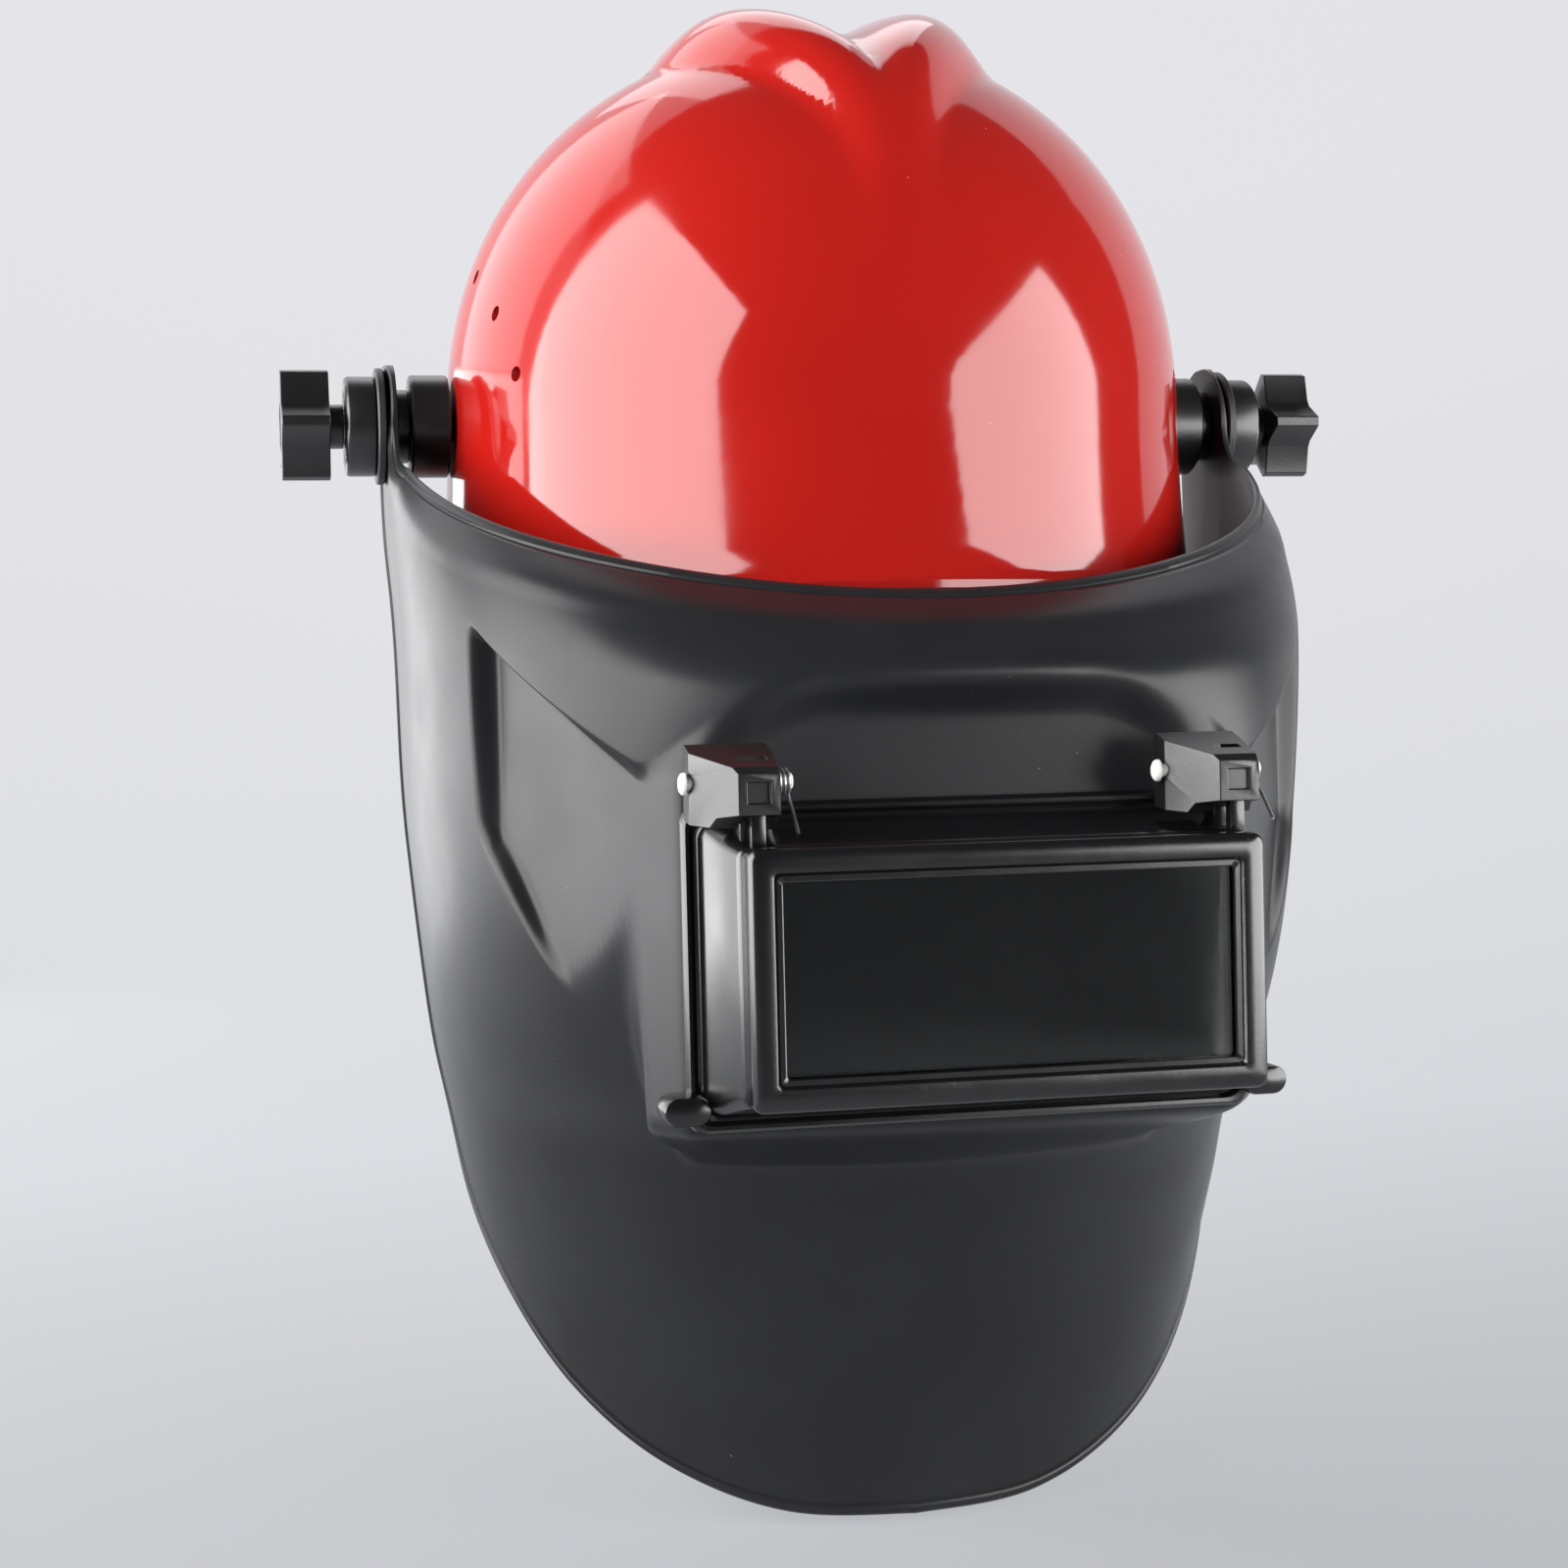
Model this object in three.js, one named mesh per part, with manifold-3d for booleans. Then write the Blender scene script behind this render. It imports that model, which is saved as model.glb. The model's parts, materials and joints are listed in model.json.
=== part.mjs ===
// Welding helmet: a safety helmet shell with its suspension, a tilting face mask on two knobs,
// and a flip-up filter window. Millimetres, +Z up. The wearer faces -Y.
// The origin is the middle of the mask's pivot axis, in the middle of the wearer's head.
import * as THREE from 'three';
import { mergeVertices } from 'three/addons/utils/BufferGeometryUtils.js';
import Module from 'manifold-3d';

const wasm = await Module();
wasm.setup();

const DEG = Math.PI / 180;
const GAP = 0.3; // between pieces that rest on each other

// Helmet shell
const SHELL = {
  halfWidth: 98, front: 112, back: 119, centreY: 3, height: 101, roundness: 2.15,
  rimZ: -50, flare: 3, wall: 2.4, gutter: 4, gutterHeight: 2.6,
};
// The crest is a keel that starts low on the front and splits into two ridges: climb angles in degrees
const CREST = {
  spread: 24, keelHalf: 12, ridgeHalf: 22, height: 9, sharpness: 1.3, valley: 0.15, valleyWidth: 1.6,
  rise: [12, 50], split: [25, 75], fade: [110, 160], blend: 6,
};
// Vent holes on each side: bearing and lift of each, in degrees
const VENTS = { radius: 1.9, places: [[61.5, 3.5], [68.5, 12.5], [81, 20]] };

// Mask body: half width, forward reach from MASK.centreY, and squareness at each height
const MASK = { centreY: -14, wall: 2.4, earRadius: 16, lipTop: -7, lipDrop: 42, columns: 44, rows: 18 };
const MASK_SECTIONS = [
  { z: 20, width: 115, reach: 108, square: 2.0 },
  { z: -46, width: 115, reach: 109, square: 2.05 },
  { z: -60, width: 115, reach: 126, square: 2.3 },
  { z: -74, width: 114.5, reach: 138, square: 2.4 },
  { z: -104, width: 112, reach: 139, square: 2.4 },
  { z: -135, width: 109.5, reach: 134, square: 2.35 },
  { z: -160, width: 107, reach: 123, square: 2.2 },
  { z: -180, width: 103.5, reach: 104, square: 2.0 },
  { z: -200, width: 100.5, reach: 93, square: 2.0 },
  { z: -222, width: 96, reach: 84, square: 2.0 },
  { z: -244, width: 92, reach: 77.5, square: 2.0 },
  { z: -262, width: 89.5, reach: 74, square: 2.0 },
  { z: -280, width: 88, reach: 73, square: 2.0 },
];
// The rear edge and chin: bearing around the section (degrees) and height, from chin to ear
const RIM = [
  [0, -273], [25, -271], [46, -261], [62, -245], [74, -225], [82.5, -206], [89, -182],
  [94, -150], [98.5, -110], [101.5, -70], [104, -30], [105, 0],
];
// The flat window platform and the two flat cheek panels; browStep is the soft slope under the brow
const FACET = {
  frontReach: 129, cheekReach: 121, cheekBearing: 59, blend: 2, edge: 53.5, edgeHalf: 1.5,
  topStep: 4, footStep: 8, browStep: 16, browTop: -72, platformFoot: -167,
};

// Pivot stack: [from, to] distances from the middle plane
const PIVOT = {
  boss: [94, 108.6], spacer: [108.9, 112.3], washer: [115.3, 117.5], disc: [117.8, 125.5],
  neck: [125.8, 129.5], knob: [129.5, 142], boltHead: [90.5, 94.5], bolt: [93.5, 138],
  bossRadius: 13.4, spacerRadius: 9.6, washerRadius: 15.2, discRadius: 13, discStep: 1, neckRadius: 5.8,
  headRadius: 8.5, boltRadius: 4, bore: 4.3, earBore: 5, knobBore: 4.2,
  knobTip: 14.8, knobValley: 9.8, knobLobes: 5, insertRadius: 6.2, insert: [132, 140],
};

// Filter window: the standard 108 x 50 filter plate sets every size
const PLATE = { width: 108, height: 50, corner: 0.6 };
const WINDOW = { z: -132.5, front: -178, openWidth: 98, openHeight: 40.5 };
const FLIP = { width: 112, height: 55, depth: 10, wall: 1.7, face: 2, beadWidth: 3.4, beadDepth: 1.2 };
const HOUSING = {
  back: -143.3, front: -167.7, width: 121, height: 61, wall: 2, flangeOut: 3.2, flange: 1.8, ledge: 3.2,
};
const HINGE = {
  y: -160, z: -92, x: 52.5, slot: 6.2, postWidth: 4.6, postDepth: 6, postOver: 3,
  pinRadius: 1.5, pinBore: 1.75, pegY: -169.6, peg: 3.2, pegTop: -97.2,
  outer: -12.6, inner: 5.3, shoulder: -1, front: -12, frontFrom: -4.2, frontTo: 4.6,
};
const PINS = { right: [-67, -42.8], left: [37.6, 62] }; // from, to along X
const CLAMP = { width: 114, height: 58, thick: 2 };
const SPRING = { radius: 2.6, wire: 0.35, turns: 3, pitch: 0.95 };
const LUG = { x: 65.4, z: -162, width: 10.4, height: 6.4, front: -153 };

// Headgear
const BAND = {
  halfWidth: 78, halfLength: 97, centreY: 4, z: -46, height: 26, wall: 2, napeDrop: 30, end: 170,
};
const SWEATBAND = { reach: 78, wall: 4, height: 30 };
const STRAP = { width: 20, wall: 1.3, halfRun: 88, top: 60, foot: -20, spread: 45, crossing: 2.3 };
const KEY = { width: 24, foot: -47, top: -20.4, from: 80, to: 108 };
const RATCHET = {
  z: -76, width: 62, height: 36, front: 88, back: 109, slot: [-0.4, 2.4], frontWall: 2, pocket: 7.6,
  cover: [109.3, 111.3], pinion: [103.6, 108.5], pinionRadius: 6.6, teeth: 10, toothDepth: 1.4,
  shaftRadius: 5, knob: [111.6, 126], knobRadius: 17, grips: 12, gripDepth: 1.6,
};
const NAPE_PAD = { reach: 21, thick: 5, height: 32 };

const paint = (color, roughness, metalness = 0) =>
  new THREE.MeshStandardMaterial({ color, roughness, metalness });
const MATERIALS = {
  shellRed: paint(0xd8151b, 0.16),
  maskBlack: paint(0x1c1d20, 0.42),
  frameBlack: paint(0x141416, 0.26),
  knobBlack: paint(0x26262a, 0.5),
  suspensionBlack: paint(0x1e1e20, 0.6),
  filterGlass: paint(0x0c1410, 0.05),
  clearPlate: paint(0xdfe8e6, 0.04),
  pinWhite: paint(0xe8e6df, 0.45),
  steel: paint(0xb4b6ba, 0.32, 1),
  brass: paint(0xb8934a, 0.35, 1),
  gasketRubber: paint(0x0f0f10, 0.85),
  foam: paint(0x2b2b2e, 0.95),
  webbing: paint(0x33343a, 0.9),
};

const helmet = new THREE.Group();

function addPart(name, geometry, material) {
  const mesh = new THREE.Mesh(geometry, material);
  mesh.name = name;
  helmet.add(mesh);
  return mesh;
}

// ---------- joining and cutting ----------

function weld(geometry) {
  const bare = geometry.index ? geometry.clone() : mergeVertices(geometry.clone());
  bare.deleteAttribute('normal');
  bare.deleteAttribute('uv');
  return mergeVertices(bare, 1e-4);
}

function solidOf(geometry) {
  const bare = weld(geometry);
  const mesh = new wasm.Mesh({
    numProp: 3,
    vertProperties: new Float32Array(bare.attributes.position.array),
    triVerts: new Uint32Array(bare.index.array),
  });
  return new wasm.Manifold(mesh);
}

function geometryOf(solid) {
  const mesh = solid.getMesh();
  const geometry = new THREE.BufferGeometry();
  geometry.setAttribute('position', new THREE.BufferAttribute(mesh.vertProperties, 3));
  geometry.setIndex(new THREE.BufferAttribute(mesh.triVerts, 1));
  geometry.computeVertexNormals();
  return geometry;
}

function join(first, ...others) {
  return geometryOf(others.reduce((sum, part) => sum.add(solidOf(part)), solidOf(first)));
}

function cut(first, ...tools) {
  return geometryOf(tools.reduce((rest, tool) => rest.subtract(solidOf(tool)), solidOf(first)));
}

// ---------- basic shapes ----------

function box(width, depth, height, x, y, z) {
  return new THREE.BoxGeometry(width, depth, height).translate(x, y, z);
}

// A ring or disc about the X axis. profile: [distance from axis, place along X] points, closed
function turnedX(profile, segments = 24) {
  const points = profile.map(([radius, along]) => new THREE.Vector2(radius, along));
  points.push(points[0].clone());
  return new THREE.LatheGeometry(points, segments).rotateZ(-Math.PI / 2);
}

function rodX(radius, from, to, y = 0, z = 0, segments = 20) {
  return new THREE.CylinderGeometry(radius, radius, Math.abs(to - from), segments)
    .rotateZ(-Math.PI / 2).translate((from + to) / 2, y, z);
}

function rodY(radius, from, to, x = 0, z = 0, segments = 20) {
  return new THREE.CylinderGeometry(radius, radius, Math.abs(to - from), segments)
    .translate(0, (from + to) / 2, 0).translate(x, 0, z);
}

function tubeX(outer, inner, from, to) {
  const [low, high] = [Math.min(from, to), Math.max(from, to)];
  return turnedX([[inner, low], [outer, low], [outer, high], [inner, high]]);
}

function roundedRect(width, height, radius) {
  const [w, h] = [width / 2, height / 2];
  const shape = new THREE.Shape();
  shape.moveTo(-w + radius, -h);
  shape.lineTo(w - radius, -h);
  shape.absarc(w - radius, -h + radius, radius, -Math.PI / 2, 0);
  shape.lineTo(w, h - radius);
  shape.absarc(w - radius, h - radius, radius, 0, Math.PI / 2);
  shape.lineTo(-w + radius, h);
  shape.absarc(-w + radius, h - radius, radius, Math.PI / 2, Math.PI);
  shape.lineTo(-w, -h + radius);
  shape.absarc(-w + radius, -h + radius, radius, Math.PI, Math.PI * 1.5);
  return shape;
}

// A flat plate in the X-Z plane, from y = front to y = back
function plateXZ(shape, front, back, x, z, curveSegments = 4) {
  const depth = Math.abs(back - front);
  return new THREE.ExtrudeGeometry(shape, { depth, bevelEnabled: false, curveSegments })
    .rotateX(Math.PI / 2).translate(x, Math.max(front, back), z);
}

function frameXZ(width, height, inWidth, inHeight, front, back, z, radius = 2) {
  const shape = roundedRect(width, height, radius);
  shape.holes.push(roundedRect(inWidth, inHeight, Math.min(radius, 1.5)));
  return plateXZ(shape, front, back, 0, z, 2);
}

// A closed skin between two grids of points. closedAcross joins the last column to the first
function skin(outer, inner) {
  const rows = outer.length;
  const columns = outer[0].length;
  const positions = [...outer.flat(), ...inner.flat()].flatMap((p) => [p.x, p.y, p.z]);
  const index = [];
  const at = (r, c, layer) => layer * rows * columns + r * columns + c;
  const quad = (a, b, c, d) => index.push(a, b, c, a, c, d);
  for (let r = 0; r < rows - 1; r += 1) {
    for (let c = 0; c < columns - 1; c += 1) {
      quad(at(r, c, 0), at(r + 1, c, 0), at(r + 1, c + 1, 0), at(r, c + 1, 0));
      quad(at(r, c, 1), at(r, c + 1, 1), at(r + 1, c + 1, 1), at(r + 1, c, 1));
    }
  }
  for (let c = 0; c < columns - 1; c += 1) {
    quad(at(0, c, 0), at(0, c + 1, 0), at(0, c + 1, 1), at(0, c, 1));
    quad(at(rows - 1, c, 0), at(rows - 1, c, 1), at(rows - 1, c + 1, 1), at(rows - 1, c + 1, 0));
  }
  for (let r = 0; r < rows - 1; r += 1) {
    quad(at(r, 0, 0), at(r, 0, 1), at(r + 1, 0, 1), at(r + 1, 0, 0));
    quad(at(r, columns - 1, 0), at(r + 1, columns - 1, 0), at(r + 1, columns - 1, 1), at(r, columns - 1, 1));
  }
  const geometry = new THREE.BufferGeometry();
  geometry.setAttribute('position', new THREE.Float32BufferAttribute(positions, 3));
  geometry.setIndex(index);
  return geometry;
}

const mix = (a, b, t) => a + (b - a) * t;
const clamp01 = (t) => Math.min(1, Math.max(0, t));
const smooth = (from, to, value) => {
  const t = clamp01((value - from) / (to - from));
  return t * t * (3 - 2 * t);
};
const softMin = (a, b, radius) => {
  const h = clamp01(0.5 + (0.5 * (b - a)) / radius);
  return mix(b, a, h) - radius * h * (1 - h);
};

// ---------- helmet shell ----------

// Height of the crest's two ridges and the valley between them. climb: degrees up from the front
function crestHeight(x, climb) {
  const apart = smooth(...CREST.split, climb);
  const centre = CREST.spread * apart;
  const half = mix(CREST.keelHalf, CREST.ridgeHalf, apart);
  const ridge = (offset) => Math.cos(clamp01(Math.abs(offset) / half) * Math.PI / 2) ** CREST.sharpness;
  const heights = [ridge(x - centre), ridge(x + centre), CREST.valley * ridge(x / CREST.valleyWidth)];
  const total = heights.reduce((sum, height) => sum + height ** CREST.blend, 0) ** (1 / CREST.blend);
  const fade = 1 - smooth(...CREST.fade, climb);
  return CREST.height * smooth(...CREST.rise, climb) * fade * Math.min(total, 1);
}

// bearing: 0 at the front, 180 at the back; lift: 0 at the rim plane of the pivots, 90 at the top
function shellPoint(bearing, lift, inset) {
  const sin = Math.sin(bearing * DEG);
  const cos = Math.cos(bearing * DEG);
  const reach = cos > 0 ? SHELL.front : SHELL.back;
  const power = 2 / SHELL.roundness;
  const across = Math.cos(lift * DEG) ** power;
  const up = Math.sin(lift * DEG) ** power;
  const x = (SHELL.halfWidth - inset) * sin * across;
  const y = SHELL.centreY - (reach - inset) * cos * across;
  const z = (SHELL.height - inset) * up;
  const climb = Math.atan2(z, SHELL.centreY - y) / DEG;
  const bump = crestHeight(x, climb);
  const away = new THREE.Vector3(x, y - SHELL.centreY, z).normalize();
  return new THREE.Vector3(x, y, z).addScaledVector(away, bump);
}

function shellSkirtPoint(bearing, drop, inset) {
  const sin = Math.sin(bearing * DEG);
  const cos = Math.cos(bearing * DEG);
  const reach = cos > 0 ? SHELL.front : SHELL.back;
  const grow = SHELL.flare * drop * drop;
  const x = (SHELL.halfWidth + grow - inset) * sin;
  const y = SHELL.centreY - (reach + grow - inset) * cos;
  return new THREE.Vector3(x, y, SHELL.rimZ * drop);
}

function shellSolid(inset, bottom = 1, columns = 40, domeRows = 10, skirtRows = 2) {
  const grid = [];
  const bearings = [...Array(columns)].map((_, c) => (360 * c) / columns);
  for (let r = 0; r <= skirtRows; r += 1) {
    grid.push(bearings.map((bearing) => shellSkirtPoint(bearing, bottom * (1 - r / skirtRows), inset)));
  }
  for (let r = 1; r < domeRows; r += 1) {
    grid.push(bearings.map((bearing) => shellPoint(bearing, (90 * r) / domeRows, inset)));
  }
  const positions = grid.flat().flatMap((p) => [p.x, p.y, p.z]);
  const top = shellPoint(0, 90, inset);
  positions.push(top.x, top.y, top.z, 0, SHELL.centreY, SHELL.rimZ * bottom);
  const topIndex = grid.length * columns;
  const baseIndex = topIndex + 1;
  const index = [];
  for (let r = 0; r < grid.length - 1; r += 1) {
    for (let c = 0; c < columns; c += 1) {
      const next = (c + 1) % columns;
      const [a, b] = [r * columns + c, r * columns + next];
      const [d, e] = [a + columns, b + columns];
      index.push(a, b, e, a, e, d);
    }
  }
  const last = (grid.length - 1) * columns;
  for (let c = 0; c < columns; c += 1) {
    const next = (c + 1) % columns;
    index.push(last + c, last + next, topIndex);
    index.push(next, c, baseIndex);
  }
  const geometry = new THREE.BufferGeometry();
  geometry.setAttribute('position', new THREE.Float32BufferAttribute(positions, 3));
  geometry.setIndex(index);
  return geometry;
}

// The gutter that stiffens the rim, as a flat ring round the shell's foot
function gutterRing() {
  const outline = (extra) => {
    const shape = new THREE.Shape();
    const points = [...Array(40)].map((_, i) => {
      const p = shellSkirtPoint(i * 9, 1, -extra);
      return new THREE.Vector2(p.x, p.y);
    });
    shape.setFromPoints(points);
    return shape;
  };
  const ring = outline(SHELL.gutter);
  ring.holes.push(outline(-SHELL.wall / 2));
  return new THREE.ExtrudeGeometry(ring, { depth: SHELL.gutterHeight, bevelEnabled: false })
    .translate(0, 0, SHELL.rimZ);
}


function ventDrills() {
  return [-1, 1].flatMap((side) => VENTS.places.map(([bearing, lift]) => {
    const p = shellPoint(side * bearing, lift, 0);
    return rodX(VENTS.radius, p.x - 6, p.x + 6, p.y, p.z, 8);
  }));
}

function shellGeometry() {
  const hollow = shellSolid(SHELL.wall, 1.1);
  const boltHole = rodX(PIVOT.bore, -130, 130);
  return cut(join(shellSolid(0), gutterRing()), hollow, boltHole, ...ventDrills());
}

// ---------- mask body ----------

function maskSection(z) {
  const rows = MASK_SECTIONS;
  const reached = rows.findIndex((row) => row.z <= z);
  const place = reached === -1 ? rows.length - 1 : Math.max(1, reached);
  const [above, below] = [rows[place - 1], rows[place]];
  const before = rows[Math.max(0, place - 2)];
  const after = rows[Math.min(rows.length - 1, place + 1)];
  const t = clamp01((above.z - z) / (above.z - below.z));
  const hermite = (key) => {
    const span = above.z - below.z;
    const slopeA = ((below[key] - before[key]) / Math.max(1, before.z - below.z)) * span;
    const slopeB = ((after[key] - above[key]) / Math.max(1, above.z - after.z)) * span;
    const [t2, t3] = [t * t, t * t * t];
    return above[key] * (2 * t3 - 3 * t2 + 1) + slopeA * (t3 - 2 * t2 + t)
      + below[key] * (3 * t2 - 2 * t3) + slopeB * (t3 - t2);
  };
  return { width: hermite('width'), reach: hermite('reach'), square: hermite('square') };
}

// How far a point lies inside the recess that holds the window and the two cheek panels, 0 to 1.
// side: degrees from the front
function recessShare(side, z) {
  const { topStep, footStep, browStep, browTop, edge, edgeHalf, platformFoot } = FACET;
  const top = side < 31 ? mix(browTop, -90, smooth(12, 31, side)) : mix(-90, -54, (side - 31) / 25);
  const brow = mix(browStep, topStep, smooth(18, 34, side));
  const below = smooth(top + brow / 2, top - brow / 2, z);
  const cheekFoot = mix(-152, -100, smooth(34, 58, side));
  const cheek = smooth(cheekFoot - footStep / 2, cheekFoot + footStep / 2, z);
  const platform = smooth(platformFoot - 16, platformFoot, z);
  const above = mix(platform, cheek, smooth(31, 42, side));
  const inside = 1 - smooth(edge - edgeHalf, edge + edgeHalf, side);
  return below * above * inside;
}

// A point on the mask's outer surface. along: distance round the section from the front, 2 mm a degree
function maskPoint(along, z) {
  const bearing = along / 2;
  const side = Math.abs(bearing);
  const lipRise = MASK.lipDrop * (1 - Math.cos(Math.min(side, 90) * DEG));
  const { width, reach, square } = maskSection(z - lipRise * smooth(-110, -40, z));
  if (side > 90) {
    return new THREE.Vector3(Math.sign(bearing) * width, MASK.centreY + (side - 90) * 2, z);
  }
  const [sin, cos] = [Math.sin(side * DEG), Math.cos(side * DEG)];
  const body = ((sin / width) ** square + (cos / reach) ** square) ** (-1 / square);
  const front = FACET.frontReach / Math.max(cos, 0.05);
  const cheek = FACET.cheekReach / Math.cos((side - FACET.cheekBearing) * DEG);
  const panel = softMin(front, cheek, FACET.blend);
  const facet = mix(panel, Math.min(panel, body), smooth(31, 35, side));
  const radius = mix(body, facet, recessShare(side, z));
  return new THREE.Vector3(Math.sign(bearing) * radius * sin, MASK.centreY - radius * cos, z);
}

function maskNormal(along, z) {
  const step = 0.5;
  const across = maskPoint(along + step, z).sub(maskPoint(along - step, z));
  const up = maskPoint(along, z + step).sub(maskPoint(along, z - step));
  return across.cross(up).normalize();
}

// Edge of the mask from the middle (share 0) round to the ear's top (share 1), as [along, z]
const EAR_ALONG = (90 + -MASK.centreY / 2) * 2;
const LIP_END = 0.78;
const EAR_START = 0.86;

function earArc(share, side) {
  const turn = ((share - EAR_START) / (1 - EAR_START)) * 80 * DEG;
  return [EAR_ALONG + side * MASK.earRadius * Math.cos(turn), MASK.earRadius * Math.sin(turn)];
}

function lipEdge(share) {
  const straight = (along) => [along, MASK.lipTop - MASK.lipDrop * Math.cos((along / 2) * DEG)];
  const last = 162;
  if (share <= LIP_END) return straight((share / LIP_END) * last);
  if (share >= EAR_START) return earArc(share, -1);
  const t = (share - LIP_END) / (EAR_START - LIP_END);
  const [from, corner, to] = [straight(last), [EAR_ALONG - MASK.earRadius, -12], earArc(EAR_START, -1)];
  return [0, 1].map((k) => from[k] * (1 - t) ** 2 + corner[k] * 2 * t * (1 - t) + to[k] * t * t);
}

const rimCurve = new THREE.SplineCurve(RIM.map(([bearing, z]) => new THREE.Vector2(bearing * 2, z)));

function rimEdge(share) {
  if (share >= EAR_START) return earArc(share, 1);
  const p = rimCurve.getPoint(share / EAR_START);
  return [p.x, p.y];
}

function maskGrid(inset) {
  return [...Array(MASK.rows + 1)].map((_, r) => [...Array(MASK.columns + 1)].map((__, c) => {
    const share = (2 * c) / MASK.columns - 1;
    const [lip, rim] = [lipEdge(Math.abs(share)), rimEdge(Math.abs(share))];
    const t = r / MASK.rows;
    const along = Math.sign(share) * mix(lip[0], rim[0], t);
    const z = mix(lip[1], rim[1], t);
    return maskPoint(along, z).addScaledVector(maskNormal(along, z), -inset);
  }));
}

function maskGeometry() {
  const wall = skin(maskGrid(0), maskGrid(MASK.wall));
  const opening = box(WINDOW.openWidth + 2, 40, WINDOW.openHeight + 4, 0, MASK.centreY - 128, WINDOW.z);
  const seatY = MASK.centreY - FACET.frontReach + MASK.wall;
  const seat = box(CLAMP.width + 2 * GAP, 12, CLAMP.height + 2 * GAP, 0, seatY + 6, WINDOW.z);
  return cut(wall, opening, seat, rodX(PIVOT.earBore, -130, -100), rodX(PIVOT.earBore, 100, 130));
}

// ---------- pivots ----------

function starShape(lobes, tipRadius, valleyRadius) {
  const half = 180 / lobes;
  const corners = [...Array(lobes)].flatMap((_, i) => {
    const tip = 2 * half * i;
    const valley = tip + half;
    return [
      [tip - 5, tipRadius], [tip + 5, tipRadius], [valley - 6, valleyRadius], [valley + 6, valleyRadius],
    ];
  });
  return new THREE.Shape(corners.map(([angle, radius]) => new THREE.Vector2(
    -radius * Math.cos(angle * DEG), radius * Math.sin(angle * DEG),
  )));
}

// A flat shape drawn in the Y-Z plane, from x = from to x = to
function plateYZ(shape, from, to) {
  return new THREE.ExtrudeGeometry(shape, { depth: to - from, bevelEnabled: false })
    .rotateY(Math.PI / 2).rotateX(Math.PI / 2).translate(from, 0, 0);
}

function starKnob() {
  const [inner, outer] = PIVOT.knob;
  const [neckIn, neckOut] = PIVOT.neck;
  const star = plateYZ(starShape(PIVOT.knobLobes, PIVOT.knobTip, PIVOT.knobValley), inner, outer);
  const neck = rodX(PIVOT.neckRadius, neckIn, neckOut + 1);
  const bore = rodX(PIVOT.knobBore, neckIn - 1, PIVOT.bolt[1] + 1);
  const pocket = rodX(PIVOT.insertRadius + GAP, PIVOT.insert[0] - GAP, outer + 1);
  return cut(join(star, neck), bore, pocket);
}

// The stack on the +X side; the other side is the same stack turned half a turn about Z
function addPivot(name, turn) {
  const placed = (geometry) => geometry.rotateZ(turn);
  const ring = (outer, inner, span) => placed(tubeX(outer, inner, ...span));
  const boss = cut(ring(PIVOT.bossRadius, PIVOT.bore, PIVOT.boss), shellSolid(-GAP));
  addPart(`pivot_boss_${name}`, boss, MATERIALS.knobBlack);
  addPart(`pivot_spacer_${name}`, ring(PIVOT.spacerRadius, PIVOT.bore, PIVOT.spacer), MATERIALS.knobBlack);
  const washer = ring(PIVOT.washerRadius, PIVOT.bore, PIVOT.washer);
  addPart(`friction_washer_${name}`, washer, MATERIALS.suspensionBlack);
  const [discIn, discOut] = PIVOT.disc;
  const disc = turnedX([
    [PIVOT.bore, discIn], [PIVOT.discRadius, discIn], [PIVOT.discRadius, discOut - PIVOT.discStep],
    [PIVOT.discRadius - PIVOT.discStep, discOut], [PIVOT.bore, discOut],
  ]);
  addPart(`pressure_disc_${name}`, placed(disc), MATERIALS.knobBlack);
  const head = rodX(PIVOT.headRadius, ...PIVOT.boltHead, 0, 0, 6);
  addPart(`pivot_bolt_${name}`, placed(join(head, rodX(PIVOT.boltRadius, ...PIVOT.bolt))), MATERIALS.steel);
  const phase = name === 'right' ? Math.PI / PIVOT.knobLobes : 0; // one knob rests half a lobe on
  addPart(`star_knob_${name}`, placed(starKnob().rotateX(phase)), MATERIALS.knobBlack);
  addPart(`knob_insert_${name}`, ring(PIVOT.insertRadius, PIVOT.knobBore, PIVOT.insert), MATERIALS.brass);
}

// ---------- filter window: the housing fixed to the mask ----------

// A four-sided solid that narrows from its back to its front
function taperedBlock(backSize, frontSize, back, front) {
  const corners = (size, y) => [[-1, -1], [1, -1], [1, 1], [-1, 1]].map(([sx, sz]) => new THREE.Vector3(
    (sx * size[0]) / 2, y, WINDOW.z + (sz * size[1]) / 2,
  ));
  const ends = [...corners(backSize, back), ...corners(frontSize, front)];
  const geometry = new THREE.BufferGeometry().setFromPoints(ends);
  const faces = [[0, 1, 2, 3], [7, 6, 5, 4]];
  for (let i = 0; i < 4; i += 1) faces.push([i, i + 4, ((i + 1) % 4) + 4, (i + 1) % 4]);
  geometry.setIndex(faces.flatMap(([a, b, c, d]) => [a, c, b, a, d, c]));
  return geometry;
}

function windowFrame(width, height, inWidth, inHeight, front, back, radius = 0.6) {
  return frameXZ(width, height, inWidth, inHeight, front, back, WINDOW.z, radius);
}

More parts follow.
